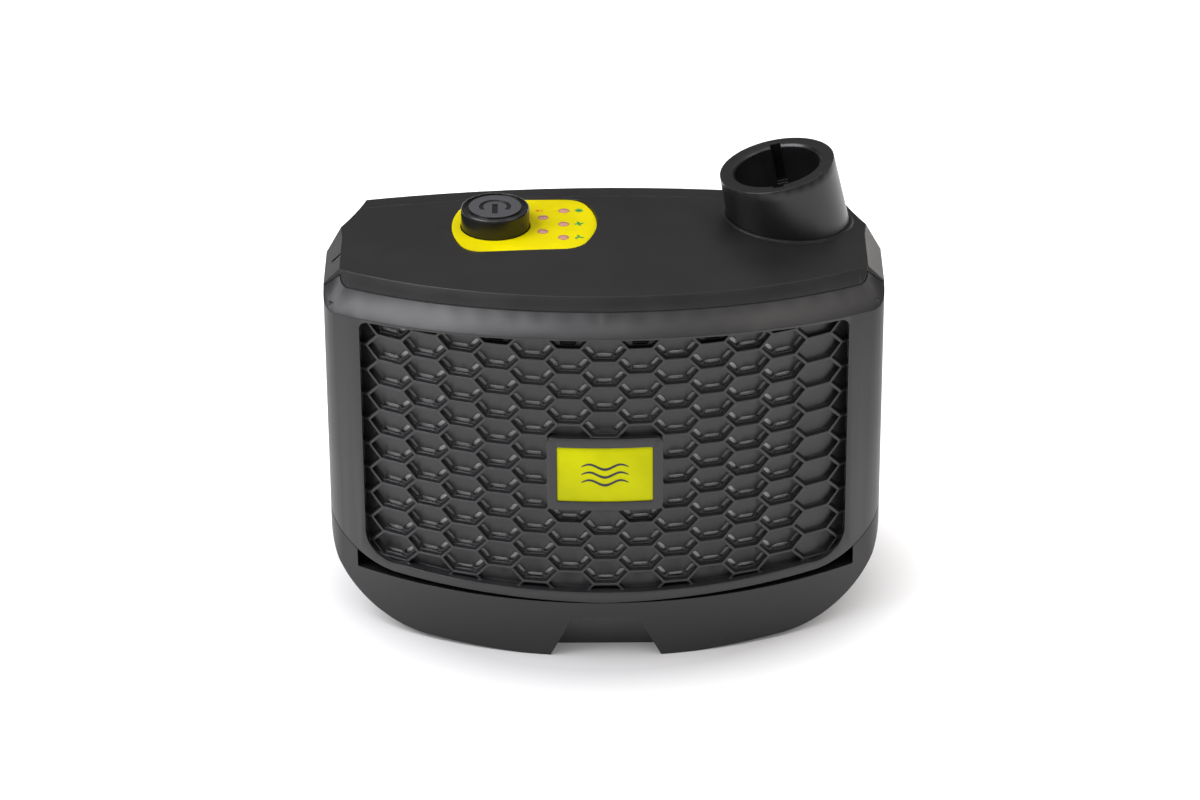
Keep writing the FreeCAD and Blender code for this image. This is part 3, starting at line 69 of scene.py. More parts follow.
BUTTON_DISC_R = 0.0106
PREFILTER_BOW = 0.1776      # plan radii of the bowed pieces behind the cover, and of the badge
MEDIA_BOW = 0.1706
BADGE_BOW = 0.1837
PREFILTER_THICK = 4.0 * MM
PLEAT_PITCH = 4.1 * MM
PAPER_THICK = 0.45 * MM
MEDIA_CORNER_R = 7.7 * MM   # the cartridge's round lower corners
GASKET_WIDTH = 8.0 * MM
GASKET_CORNER_R = 5.0 * MM
SPRING_WIRE_R = 0.45 * MM
LAMP_R = 2.1 * MM
PRINT_FOOT = 0.004          # underside and top of printed ink over its surface, mm
PRINT_TOP = 0.03
CAMERA_RISE_DEG = 29.3
CAMERA_ROLL_DEG = 0.33
CAMERA_REACH = 1.895
CAMERA_LENS_MM = 144.0
CAMERA_AIM = (-0.0018, 0.005, 0.1193)   # x, then y and z from the front and the foot of the CAD box
FLOOR_HALF = 12.0
cad_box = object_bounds()
nodes_by_name = frame["nodes"]
record = frame["record"]
slot_of = {part["node"]: part["material_slot"] for part in record["subparts"]}


# ------------------------------------------------------------------ material helpers
class Graph:
    """Thin wrapper that makes shader nodes and joins them."""

    def __init__(self, name):
        self.material = bpy.data.materials.new(name)
        self.material.use_nodes = True
        self.tree = self.material.node_tree
        self.shader = self.tree.nodes["Principled BSDF"]
        coords = self.tree.nodes.new("ShaderNodeTexCoord")
        self.place = coords.outputs["Object"]

    def add(self, kind, inputs=None, **settings):
        node = self.tree.nodes.new(kind)
        for key, value in settings.items():
            setattr(node, key, value)
        for key, value in (inputs or {}).items():
            self.put(node.inputs[key], value)
        return node

    def put(self, socket, value):
        if isinstance(value, bpy.types.NodeSocket):
            self.tree.links.new(value, socket)
        else:
            socket.default_value = value

    def noise(self, scale, detail=2.0, rough=0.5, vector=None):
        node = self.add("ShaderNodeTexNoise", {"Scale": scale, "Detail": detail, "Roughness": rough,
                                               "Vector": vector or self.place})
        return node.outputs["Fac"]

    def remap(self, value, low, high, out_low, out_high):
        node = self.add("ShaderNodeMapRange", {"Value": value, "From Min": low, "From Max": high,
                                               "To Min": out_low, "To Max": out_high})
        return node.outputs["Result"]

    def mix(self, factor, a, b, blend="MIX"):
        node = self.add("ShaderNodeMix", data_type="RGBA", blend_type=blend)
        self.put(node.inputs["Factor"], factor)
        self.put(node.inputs["A"], a)
        self.put(node.inputs["B"], b)
        return node.outputs["Result"]

    def math(self, operation, a, b=0.0):
        node = self.add("ShaderNodeMath", operation=operation)
        self.put(node.inputs[0], a)
        self.put(node.inputs[1], b)
        return node.outputs["Value"]

    def bump(self, height, distance, strength=1.0, normal=None):
        inputs = {"Height": height, "Distance": distance, "Strength": strength}
        if normal is not None:
            inputs["Normal"] = normal
        return self.add("ShaderNodeBump", inputs).outputs["Normal"]

    def edge_mask(self, radius):
        """About 1 on convex and concave edges within the radius, 0 on flat faces."""
        round_normal = self.add("ShaderNodeBevel", {"Radius": radius}, samples=4).outputs["Normal"]
        flat = self.add("ShaderNodeNewGeometry").outputs["Normal"]
        dot = self.add("ShaderNodeVectorMath", operation="DOT_PRODUCT")
        self.put(dot.inputs[0], round_normal)
        self.put(dot.inputs[1], flat)
        return self.remap(dot.outputs["Value"], 1.0, 0.86, 0.0, 1.0), round_normal

    def finish(self, color, roughness, normal=None, **extra):
        self.put(self.shader.inputs["Base Color"], color)
        self.put(self.shader.inputs["Roughness"], roughness)
        if normal is not None:
            self.put(self.shader.inputs["Normal"], normal)
        for key, value in extra.items():
            self.put(self.shader.inputs[key.replace("_", " ")], value)
        return self.material


def rgb(r, g, b):
    return (r, g, b, 1.0)


def moulded(name, color, rough=0.5, grain=1500.0, depth=0.03, edge_highlight=0.5, edge=0.5, specular=0.5):
    """Moulded plastic: fine spark-eroded grain, faint cloudiness, polished edges with a painted highlight, a
    paler tint on convex and concave edges.
    """
    g = Graph(name)
    mask, round_normal = g.edge_mask(edge * MM)
    cloud = g.noise(38.0, 3.0)
    grit = g.noise(grain, 2.0, 0.6)
    shade = g.remap(cloud, 0.3, 0.7, 0.86, 1.14)
    base = g.mix(1.0, color, g.add("ShaderNodeCombineColor", {"Red": shade, "Green": shade,
                                                              "Blue": shade}).outputs["Color"], "MULTIPLY")
    pale = tuple(min(1.0, c * 1.9 + 0.02) for c in color[:3]) + (1.0,)
    # Edges blended towards a paler tint: painted highlight.
    base = g.mix(g.math("MULTIPLY", mask, edge_highlight), base, pale)
    roughness = g.math("SUBTRACT", g.remap(cloud, 0.3, 0.7, rough - 0.04, rough + 0.05),
                       g.math("MULTIPLY", mask, 0.12))
    normal = g.bump(grit, depth * MM, 0.6, round_normal)
    return g.finish(base, roughness, normal, Specular_IOR_Level=specular)


def metal(name, color, rough=0.3, brush=(60.0, 60.0, 900.0)):
    """Metal with fine drawn lines and slight tarnish."""
    g = Graph(name)
    stretch = g.add("ShaderNodeMapping", {"Vector": g.place, "Scale": brush}).outputs["Vector"]
    lines = g.noise(3.0, 3.0, 0.6, stretch)
    stain = g.noise(120.0, 3.0)
    dark = tuple(c * 0.72 for c in color[:3]) + (1.0,)
    base = g.mix(g.remap(stain, 0.35, 0.75, 0.0, 0.8), color, dark)
    roughness = g.remap(lines, 0.3, 0.7, rough - 0.07, rough + 0.1)
    return g.finish(base, roughness, g.bump(lines, 0.01 * MM, 0.5), Metallic=1.0)


def rubber(name, color, rough=0.7):
    g = Graph(name)
    skin = g.noise(900.0, 3.0, 0.7)
    dust = g.noise(60.0, 4.0)
    pale = tuple(c + 0.03 for c in color[:3]) + (1.0,)
    base = g.mix(g.remap(dust, 0.45, 0.8, 0.0, 0.6), color, pale)
    return g.finish(base, g.remap(skin, 0.3, 0.7, rough - 0.08, rough + 0.08), g.bump(skin, 0.05 * MM, 0.6))


def fleece(name, color, fibre=700.0, fuzz=0.35):
    """Loose fibre mat or paper: crossed stretched noise, soft sheen."""
    g = Graph(name)
    a = g.add("ShaderNodeMapping", {"Vector": g.place, "Scale": (1.0, 1.0, 0.12),
                                    "Rotation": (0.3, 0.5, 0.2)}).outputs["Vector"]
    b = g.add("ShaderNodeMapping", {"Vector": g.place, "Scale": (0.12, 1.0, 1.0),
                                    "Rotation": (0.1, 0.4, 0.9)}).outputs["Vector"]
    threads = g.math("MULTIPLY", g.noise(fibre, 3.0, 0.6, a), g.noise(fibre, 3.0, 0.6, b))
    tone = g.remap(threads, 0.15, 0.4, 0.78, 1.06)
    base = g.mix(1.0, color, g.add("ShaderNodeCombineColor", {"Red": tone, "Green": tone,
                                                              "Blue": tone}).outputs["Color"], "MULTIPLY")
    stain = g.remap(g.noise(25.0, 3.0), 0.4, 0.75, 0.0, 0.18)
    base = g.mix(stain, base, rgb(0.42, 0.39, 0.32))
    return g.finish(base, 0.92, g.bump(threads, fuzz * MM, 0.9), Sheen_Weight=0.25, Sheen_Roughness=0.6)


def lens(name, color):
    """Tinted light guide, slightly milky inside."""
    g = Graph(name)
    milk = g.remap(g.noise(700.0, 2.0), 0.3, 0.7, 0.85, 1.1)
    base = g.mix(1.0, color, g.add("ShaderNodeCombineColor", {"Red": milk, "Green": milk,
                                                              "Blue": milk}).outputs["Color"], "MULTIPLY")
    mat = g.finish(base, 0.14, None, Coat_Weight=0.6, Coat_Roughness=0.06, Subsurface_Weight=0.35)
    g.shader.inputs["Subsurface Radius"].default_value = (0.0012, 0.0006, 0.0004)
    g.shader.inputs["Subsurface Scale"].default_value = 1.0
    return mat


def painted_print(name, color):
    g = Graph(name)
    worn = g.remap(g.noise(900.0, 3.0), 0.3, 0.75, 0.35, 0.6)
    return g.finish(color, worn, g.bump(g.noise(1800.0), 0.01 * MM, 0.4))


def sleeve(name, color):
    """Shrink sleeve on a round cell, with bare metal ends along X."""
    g = Graph(name)
    normal = g.add("ShaderNodeNewGeometry").outputs["Normal"]
    across = g.add("ShaderNodeSeparateXYZ", {"Vector": normal}).outputs["X"]
    end = g.math("GREATER_THAN", g.math("ABSOLUTE", across), 0.9)
    base = g.mix(end, color, rgb(0.62, 0.62, 0.60))
    wrinkle = g.noise(240.0, 3.0)
    mat = g.finish(base, g.remap(wrinkle, 0.3, 0.7, 0.22, 0.34), g.bump(wrinkle, 0.05 * MM, 0.5))
    g.put(g.shader.inputs["Metallic"], end)
    return mat


def circuit(name, color):
    """Solder-masked board with faint tracks."""
    g = Graph(name)
    tracks = g.add("ShaderNodeTexBrick", {"Vector": g.place, "Scale": 260.0, "Color1": rgb(1, 1, 1),
                                          "Color2": rgb(0.8, 0.8, 0.8), "Mortar": rgb(0, 0, 0),
                                          "Mortar Size": 0.04}).outputs["Fac"]
    lighter = tuple(min(1.0, c * 1.6) for c in color[:3]) + (1.0,)
    return g.finish(g.mix(tracks, color, lighter), 0.3, g.bump(tracks, 0.03 * MM, 0.5))


def woven_wire(name, color, pitch=0.55):
    """Fine plain weave: two crossed sets of wires, alternately over and under."""
    g = Graph(name)
    axes = g.add("ShaderNodeSeparateXYZ", {"Vector": g.place}).outputs
    turns = 2.0 * math.pi / (pitch * MM)
    warp = g.math("ABSOLUTE", g.math("SINE", g.math("MULTIPLY", axes["X"], turns / 2)))
    weft = g.math("ABSOLUTE", g.math("SINE", g.math("MULTIPLY", axes["Z"], turns / 2)))
    height = g.math("MAXIMUM", warp, weft)
    # Openings between the wires are painted near black: painted shade in the gaps of the weave.
    shaded_gap = g.math("MULTIPLY", g.math("LESS_THAN", warp, 0.45), g.math("LESS_THAN", weft, 0.45))
    base = g.mix(shaded_gap, color, rgb(0.05, 0.05, 0.05))
    return g.finish(base, 0.5, g.bump(height, 0.12 * MM, 0.7), Metallic=0.35)


def button_finish():
    """Button moulding: frosted disc, glossy groove, rim and sunk sign."""
    g = Graph("button_black")
    tilt = math.radians(KEYPAD_TILT_DEG)
    normal = Vector((0.0, math.sin(tilt), math.cos(tilt)))
    corners = [v.co for v in nodes_by_name["power_button"].data.vertices]
    top = max(corner.dot(normal) for corner in corners)
    crown = [corner for corner in corners if corner.dot(normal) > top - 0.1 * MM]
    centre = sum(crown, Vector()) / len(crown)
    height = g.add("ShaderNodeVectorMath", {0: g.place, 1: tuple(normal)}, operation="DOT_PRODUCT")
    on_top = g.math("GREATER_THAN", height.outputs["Value"], top - 0.12 * MM)
    spread = g.add("ShaderNodeVectorMath", {0: g.place, 1: tuple(centre)}, operation="DISTANCE")
    inside = g.math("LESS_THAN", spread.outputs["Value"], BUTTON_DISC_R + 0.0001)
    disc = g.math("MULTIPLY", on_top, inside)
    mask, round_normal = g.edge_mask(0.5 * MM)
    base = g.mix(disc, rgb(0.006, 0.006, 0.0065), rgb(0.055, 0.055, 0.060))
    # Edges a little paler: painted highlight.
    base = g.mix(g.math("MULTIPLY", mask, 0.3), base, rgb(0.06, 0.06, 0.065))
    rough = g.remap(disc, 0.0, 1.0, 0.27, 0.5)
    return g.finish(base, rough, g.bump(g.noise(1700.0), 0.012 * MM, 0.6, round_normal))


PAINT = {
    "casing_black": lambda: moulded("casing_black", rgb(0.0080, 0.0075, 0.0075), 0.45, 1300.0, 0.045, 0.25),
    "cover_black": lambda: moulded("cover_black", rgb(0.0105, 0.0106, 0.0114), 0.40, 1700.0, 0.02, 0.35, 0.5),
    "socket_black": lambda: moulded("socket_black", rgb(0.006, 0.006, 0.0065), 0.33, 1700.0, 0.012, 0.5, 0.6),
    "signal_yellow": lambda: moulded("signal_yellow", rgb(0.635, 0.55, 0.0), 0.45, 1500.0, 0.012, 0.1,
                                     0.3, 0.08),
    "lens_pink": lambda: lens("lens_pink", rgb(0.50, 0.24, 0.18)),
    "button_black": button_finish,
    "latch_grey": lambda: moulded("latch_grey", rgb(0.09, 0.09, 0.093), 0.45, 1500.0, 0.03, 0.5),
    "duct_grey": lambda: moulded("duct_grey", rgb(0.15, 0.153, 0.16), 0.5, 1300.0, 0.03, 0.3),
    "impeller_white": lambda: moulded("impeller_white", rgb(0.62, 0.62, 0.6), 0.42, 1500.0, 0.02, 0.1),
    "frame_grey": lambda: moulded("frame_grey", rgb(0.36, 0.37, 0.38), 0.5, 1300.0, 0.03, 0.3),
    "chip_black": lambda: moulded("chip_black", rgb(0.012, 0.012, 0.013), 0.4, 2500.0, 0.01, 0.2, 0.1),
    "steel_dark": lambda: moulded("steel_dark", rgb(0.012, 0.012, 0.014), 0.34, 900.0, 0.02, 0.7, 0.4),
    "seal_rubber": lambda: rubber("seal_rubber", rgb(0.012, 0.012, 0.013)),
    "cable_red": lambda: rubber("cable_red", rgb(0.36, 0.02, 0.016), 0.45),
    "filter_white": lambda: fleece("filter_white", rgb(0.84, 0.84, 0.8), 1100.0, 0.08),
    "prefilter_grey": lambda: fleece("prefilter_grey", rgb(0.6, 0.62, 0.62), 650.0, 0.3),
    "steel": lambda: metal("steel", rgb(0.58, 0.58, 0.59), 0.28),
    "iron": lambda: metal("iron", rgb(0.22, 0.22, 0.23), 0.5),
    "can_aluminium": lambda: metal("can_aluminium", rgb(0.74, 0.74, 0.75), 0.3),
    "contact_brass": lambda: metal("contact_brass", rgb(0.8, 0.58, 0.24), 0.25),
    "cell_sleeve": lambda: sleeve("cell_sleeve", rgb(0.02, 0.14, 0.26)),
    "board_green": lambda: circuit("board_green", rgb(0.01, 0.09, 0.035)),
}
materials = {name: make() for name, make in PAINT.items()}
materials["print_green"] = painted_print("print_green", rgb(0.012, 0.26, 0.05))
materials["print_red"] = painted_print("print_red", rgb(0.62, 0.045, 0.012))
materials["print_black"] = painted_print("print_black", rgb(0.008, 0.008, 0.009))
materials["woven_wire"] = woven_wire("woven_wire", rgb(0.52, 0.52, 0.51))
# Darker copy of the keypad's yellow: painted shade on the front-facing badge.
materials["badge_yellow_shaded"] = moulded("badge_yellow_shaded", rgb(0.49, 0.50, 0.0), 0.42, 1500.0, 0.01, 0.1, 0.3, 0.08)
materials["foam"] = rubber("foam", rgb(0.02, 0.02, 0.021), 0.85)
materials["lead_black"] = rubber("lead_black", rgb(0.010, 0.010, 0.011), 0.45)
materials["lead_blue"] = rubber("lead_blue", rgb(0.012, 0.05, 0.30), 0.45)


# ------------------------------------------------------------------ CAD nodes: finish and rounded edges
ROUNDING = {
    "main_casing": 0.7, "rear_cover": 0.7, "hose_socket": 0.5, "belt_hook_left": 0.5,
    "belt_hook_right": 0.5, "keypad_panel": 0.25, "badge_plate": 0.25, "battery_case": 0.6,
    "battery_lid": 0.6, "inner_partition": 0.3, "cover_latch": 0.25, "battery_latch": 0.25,
    "filter_frame": 0.3, "fan_scroll": 0.3, "fan_inlet_plate": 0.3, "outlet_duct": 0.4,
    "filter_cover": 0.22,
}


BROAD_ROUNDING = 0.65       # from this width on, large faces set the shading normals


def round_edges(obj, width):
    weld = obj.modifiers.new("weld", "WELD")
    weld.merge_threshold = 1e-6
    bevel = obj.modifiers.new("edges", "BEVEL")
    bevel.width = width * MM
    bevel.segments = 2
    bevel.limit_method = "ANGLE"
    bevel.angle_limit = math.radians(28.0)
    bevel.use_clamp_overlap = True
    bevel.harden_normals = width < BROAD_ROUNDING
    if width >= BROAD_ROUNDING:
        even = obj.modifiers.new("even", "WEIGHTED_NORMAL")
        even.mode = "FACE_AREA"
        even.weight = 100
        even.keep_sharp = True


for name, obj in nodes_by_name.items():
    slot = slot_of[name]
    obj.data.materials.clear()
    obj.data.materials.append(materials[slot])
    if name in ROUNDING:
        round_edges(obj, ROUNDING[name])
nodes_by_name["spark_arrestor"].data.materials[0] = materials["woven_wire"]
nodes_by_name["badge_plate"].data.materials[0] = materials["badge_yellow_shaded"]


# ------------------------------------------------------------------ new pieces
def new_piece(name, verts, faces, material, slot, body, smooth=True):
    """Mesh object in the row frame that rides on a body and takes its finish from the material given."""
    mesh = bpy.data.meshes.new(name)
    mesh.from_pydata([tuple(v) for v in verts], [], faces)
    mesh.validate()
    shell = bmesh.new()
    shell.from_mesh(mesh)
    bmesh.ops.recalc_face_normals(shell, faces=shell.faces)
    shell.to_mesh(mesh)
    shell.free()
    mesh.polygons.foreach_set("use_smooth", [smooth] * len(mesh.polygons))
    mesh.materials.append(materials[material])
    obj = bpy.data.objects.new(name, mesh)
    bpy.context.scene.collection.objects.link(obj)
    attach(obj, body)
    return obj


def grid_faces(rows, columns, start=0, wrap=False):
    """Quads of a grid whose vertices run row by row; wrap joins the last column to the first."""
    faces = []
    last = columns if wrap else columns - 1
    for i in range(rows - 1):
        for j in range(last):
            k = (j + 1) % columns
            a, b = start + i * columns, start + (i + 1) * columns
            faces.append((a + j, a + k, b + k, b + j))
    return faces


def fleece_mat():
    """Prefilter: bowed mat with soft rims and an uneven, felted surface."""
    low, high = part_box("prefilter")
    bow, thick = PREFILTER_BOW, PREFILTER_THICK
    half_x = (high.x - low.x) / 2
    centre_y = low.y + bow
    columns, rows = 150, 90
    verts, faces = [], []
    for side in (-1, 1):
        for i in range(rows):
            z = low.z + (high.z - low.z) * i / (rows - 1)
            for j in range(columns):
                x = -half_x + 2 * half_x * j / (columns - 1)
                rim = min(half_x - abs(x), z - low.z, high.z - z)
                full = math.sqrt(max(0.0, 1.0 - (1.0 - min(rim / (1.6 * MM), 1.0)) ** 2))
                lump = noise.noise(Vector((x * 160, z * 160, side * 3.0))) * 0.30
                lump += noise.noise(Vector((x * 700, z * 700, side * 5.0))) * 0.16
                offset = side * full * thick * (0.42 + 0.13 * lump)
                angle = math.asin(x / bow)
                reach = bow - thick / 2 - offset
                verts.append((reach * math.sin(angle), centre_y - reach * math.cos(angle), z))
    count = rows * columns
    faces = grid_faces(rows, columns) + grid_faces(rows, columns, count)
    border = list(range(columns)) + [i * columns + columns - 1 for i in range(1, rows)]
    border += [count - 1 - j for j in range(1, columns)] + [i * columns for i in range(rows - 2, 0, -1)]
    for a, b in zip(border, border[1:] + border[:1]):
        faces.append((a, b, b + count, a + count))
    mat = new_piece("prefilter_mat", verts, faces, "prefilter_grey", "prefilter_grey", "filter_cover")
    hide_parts("prefilter")


def pleated_paper():
    """Filter medium: one paper sheet folded to and fro, with round folds."""
    low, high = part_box("filter_media")
    bow, pitch, paper = MEDIA_BOW, PLEAT_PITCH, PAPER_THICK
    fold = pitch / 4
    half_x = (high.x - low.x) / 2 - paper
    back = high.y - fold - paper / 2
    centre_y = low.y + bow
    path = []
    pleats = int(2 * half_x / pitch)
    left = -pleats * pitch / 2
    for k in range(2 * pleats):
        x = left + fold + k * pitch / 2
        front = centre_y - math.sqrt(bow ** 2 - x ** 2) + fold + paper / 2 + 0.3 * MM
        start, end = (front, back) if k % 2 == 0 else (back, front)
        path += [(x - fold, start + (end - start) * t) for t in (0.0, 0.5)]
        bulge = 1 if end == back else -1
        for step in range(5):
            angle = math.pi * step / 4
            path.append((x - fold * math.cos(angle), end + bulge * fold * math.sin(angle)))
    rows = 16
    corner = MEDIA_CORNER_R

    def foot(x):
        """Lowest point of the sheet at x: the cartridge's lower corners are round."""
        past = max(0.0, abs(x) - (half_x + paper - corner))
        return low.z + corner - math.sqrt(max(0.0, corner ** 2 - past ** 2))

    verts = []
    for i in range(rows):
        ring = []
        for side in (-1, 1):
            for n, (x, y) in enumerate(path):
                z = foot(x) + (high.z - foot(x)) * i / (rows - 1)
                x0, y0 = path[max(n - 1, 0)]
                x1, y1 = path[min(n + 1, len(path) - 1)]
                length = math.hypot(x1 - x0, y1 - y0)
                wave = 0.22 * MM * noise.noise(Vector((n * 0.37, z * 60, 2.0)))
                shift = side * paper / 2
                ring.append((x - shift * (y1 - y0) / length + wave, y + shift * (x1 - x0) / length, z))
        verts += ring[:len(path)] + ring[len(path):][::-1]
    faces = grid_faces(rows, 2 * len(path), wrap=True)
    for base in (0, (rows - 1) * 2 * len(path)):
        for n in range(len(path) - 1):
            far = base + 2 * len(path) - 1
            faces.append((base + n, base + n + 1, far - n - 1, far - n))
    paper_sheet = new_piece("filter_paper", verts, faces, "filter_white", "filter_white", "filter_cover")
    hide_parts("filter_media")


def foam_gasket():
    """Soft ring between cartridge and partition: rounded section, slightly uneven."""
    low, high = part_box("filter_gasket")
    width, corner = GASKET_WIDTH, GASKET_CORNER_R
    half_x, half_z = (high.x - low.x - width) / 2, (high.z - low.z - width) / 2
    mid = (Vector(low) + Vector(high)) / 2
    path = []
    for quarter in range(4):
        sx, sz = ((1, 1), (-1, 1), (-1, -1), (1, -1))[quarter]
        cx, cz = sx * (half_x - corner), sz * (half_z - corner)
        for step in range(7):
            angle = math.pi / 2 * (quarter + step / 6)
            path.append((cx + corner * math.cos(angle), cz + corner * math.sin(angle),
                         math.cos(angle), math.sin(angle)))
        nx, nz = ((-1, 1), (-1, -1), (1, -1), (1, 1))[quarter]
        ex, ez = nx * (half_x - corner), nz * (half_z - corner)
        angle = math.pi / 2 * (quarter + 1)
        ax, az = path[-1][:2]
        bx, bz = ex + corner * math.cos(angle), ez + corner * math.sin(angle)
        for step in range(1, 24):
            t = step / 24
            path.append((ax + (bx - ax) * t, az + (bz - az) * t, math.cos(angle), math.sin(angle)))
    sides, depth = 16, (high.y - low.y) / 2
    verts = []
    for x, z, nx, nz in path:
        for k in range(sides):
            a = 2 * math.pi * k / sides
            across = math.copysign(abs(math.cos(a)) ** 0.45, math.cos(a)) * width / 2
            along = math.copysign(abs(math.sin(a)) ** 0.45, math.sin(a)) * depth
            rough = 1.0 - 0.05 * (0.5 + 0.5 * noise.noise(Vector((x * 400, z * 400, k * 0.9))))
            verts.append((mid.x + x + nx * across * rough, mid.y + along * rough,
                          mid.z + z + nz * across * rough))
    faces = grid_faces(len(path), sides, wrap=True)
    last = (len(path) - 1) * sides
    for k in range(sides):
        faces.append((last + k, last + (k + 1) % sides, (k + 1) % sides, k))
    ring = new_piece("foam_gasket", verts, faces, "foam", "seal_rubber", "filter_cover")
    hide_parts("filter_gasket")


def smooth_path(points, steps=14):
    """Catmull-Rom curve through the points."""
    p = [points[0] * 2 - points[1]] + points + [points[-1] * 2 - points[-2]]
    out = []
    for k in range(1, len(p) - 2):
        for step in range(steps):
            t = step / steps
            a, b, c, d = p[k - 1:k + 3]
            out.append(0.5 * (2 * b + (c - a) * t + (2 * a - 5 * b + 4 * c - d) * t ** 2
                              + (3 * b - a - 3 * c + d) * t ** 3))
    return out + [points[-1]]


def twisted_lead(node, points, wires, wire_r, lay):
    """Insulated wires twisted round each other along a smooth path."""
    path = smooth_path(points)
    travelled = 0.0
    side = Vector((0, 1, 0))
    frames = []
    for n, point in enumerate(path):
        ahead = path[min(n + 1, len(path) - 1)] - path[max(n - 1, 0)]
        ahead.normalize()
        side = (side - ahead * side.dot(ahead)).normalized()
        if n:
            travelled += (point - path[n - 1]).length
        frames.append((point, side.copy(), ahead.cross(side), travelled))
    for w, material in enumerate(wires):
        verts = []
        for point, u, v, s in frames:
            turn = 2 * math.pi * (s / lay + w / len(wires))
            hub = point + (u * math.cos(turn) + v * math.sin(turn)) * wire_r
            for k in range(10):
                a = 2 * math.pi * k / 10
                verts.append(hub + (u * math.cos(a) + v * math.sin(a)) * wire_r * 0.96)
        faces = grid_faces(len(frames), 10, wrap=True)
        faces.append(tuple(range(10)))
        faces.append(tuple(len(verts) - 1 - k for k in range(10)))
        name = "%s_wire_%d" % (node, w + 1)
        new_piece(name, verts, faces, material, slot_of[node], "housing")
    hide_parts(node)


def coil_spring():
    """Coil of round wire under the button."""
    low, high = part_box("button_spring")
    tilt = math.radians(KEYPAD_TILT_DEG)
    axis = Vector((0.0, math.sin(tilt), math.cos(tilt)))
    u = Vector((1.0, 0.0, 0.0))
    v = axis.cross(u)
    wire_r, turns, steps, sides = SPRING_WIRE_R, 5, 28, 10
    outer = (high.x - low.x) / 2
    middle = (low + high) / 2
    length = (high.z - low.z - 2 * outer * math.sin(tilt)) / math.cos(tilt)
    climb = (length - 2 * wire_r) / (turns * steps)
    lean = math.atan2(climb * steps, 2 * math.pi * (outer - wire_r))
    verts = []
    for i in range(turns * steps + 1):
        turn = 2 * math.pi * i / steps
        radial = u * math.cos(turn) + v * math.sin(turn)
        along = v * math.cos(turn) - u * math.sin(turn)
        across = axis * math.cos(lean) - along * math.sin(lean)
        hub = middle + axis * climb * (i - turns * steps / 2) + radial * (outer - wire_r)
        for k in range(sides):
            a = 2 * math.pi * k / sides
            verts.append(hub + (radial * math.cos(a) + across * math.sin(a)) * wire_r)
    faces = grid_faces(turns * steps + 1, sides, wrap=True)
    faces.append(tuple(range(sides)))
    faces.append(tuple(len(verts) - 1 - k for k in range(sides)))
    spring = new_piece("button_coil", verts, faces, "steel", slot_of["button_spring"], "housing")
    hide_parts("button_spring")
    joint = next(j for j in record["behaviour"]["joints"] if j["name"] == "power_press")
    travel = max(joint["range_m"])
    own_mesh(spring)


def leads():
    low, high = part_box("motor_lead")
    r = 1.5 * MM
    start = Vector((high.x - 2 * r, high.y - r, low.z + r))
    bend = Vector((low.x + r, high.y - r, low.z + 0.30 * (high.z - low.z)))
    end = Vector((low.x + r, low.y + r, high.z - r))
    twisted_lead("motor_lead", [start, bend, end], ("cable_red", "lead_black", "lead_blue"),
                 0.75 * MM, 16 * MM)
    low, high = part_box("battery_lead")
    start = Vector((high.x - r, high.y - r, low.z))
    turn = Vector((high.x - r, high.y - r, low.z + 0.15 * (high.z - low.z)))
    bend = Vector((low.x + r, low.y + 1.6 * r, low.z + 0.53 * (high.z - low.z)))
    end = Vector((low.x + 0.5 * (high.x - low.x), low.y + r, high.z))
    twisted_lead("battery_lead", [start, turn, bend, end], ("cable_red", "lead_black"), 0.8 * MM, 14 * MM)


# ------------------------------------------------------------------ printed signs
def flat_print(name, outlines, place, material, slot, body):
    """Thin printed patches; each outline is a polygon in local mm, place maps it into the row frame."""
    verts, faces = [], []
    for outline in outlines:
        first, count = len(verts), len(outline)
        verts += [place(x, y, PRINT_TOP) for x, y in outline]
        verts += [place(x, y, PRINT_FOOT) for x, y in outline]
        faces.append(tuple(first + k for k in range(count)))
        for k in range(count):
            n = (k + 1) % count
            faces.append((first + k, first + count + k, first + count + n, first + n))
    return new_piece(name, verts, faces, material, slot, body, smooth=False)


def fan_sign(blades, radius, hub, width, sweep):
    """Outlines of a small fan: a round hub and swept blades."""
    outlines = [[(hub * math.cos(2 * math.pi * k / 20), hub * math.sin(2 * math.pi * k / 20))
                 for k in range(20)]]
    steps = 8
    for b in range(blades):
        ahead, behind = [], []
        for s in range(steps + 1):
            t = s / steps
            r = hub * 0.8 + (radius - hub * 0.8) * t
            a = 2 * math.pi * b / blades + math.pi / 2 + sweep * t
            half = width * math.sin(math.pi * (0.12 + 0.76 * t)) / r
            ahead.append((r * math.cos(a + half), r * math.sin(a + half)))
            behind.append((r * math.cos(a - half), r * math.sin(a - half)))
        outlines.append(ahead + behind[::-1])
    return outlines


def battery_sign(width, height):
    """Outlines of a battery: four thin sides, a nub and one filled bar."""
    w, h, line = width / 2, height / 2, 0.22

    def bar(x0, x1, y0, y1):
        return [(x0, y0), (x1, y0), (x1, y1), (x0, y1)]

    return [bar(-w, w, h - line, h), bar(-w, w, -h, -h + line), bar(-w, -w + line, -h + line, h - line),
            bar(w - line, w, -h + line, h - line), bar(w, w + 0.3, -h * 0.45, h * 0.45),
            bar(-w + 0.4, -0.1, -h + 0.4, h - 0.4)]


def keypad_place(node_x, node_y):
    """Maps local mm on the keypad's face, round a point given in metres, into the row frame."""
    low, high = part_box("keypad_panel")
    tilt = math.radians(KEYPAD_TILT_DEG)
    mid_y = (low.y + high.y) / 2
    mid_z = high.z - math.sin(tilt) * (high.y - low.y) / 2
    normal = Vector((0, math.sin(tilt), math.cos(tilt)))
    fall = Vector((0, math.cos(tilt), -math.sin(tilt)))

    def place(x, y, rise):
        run = (node_y - mid_y) + y * MM
        return Vector((node_x + x * MM, mid_y, mid_z)) + fall * run + normal * rise * MM

    return place


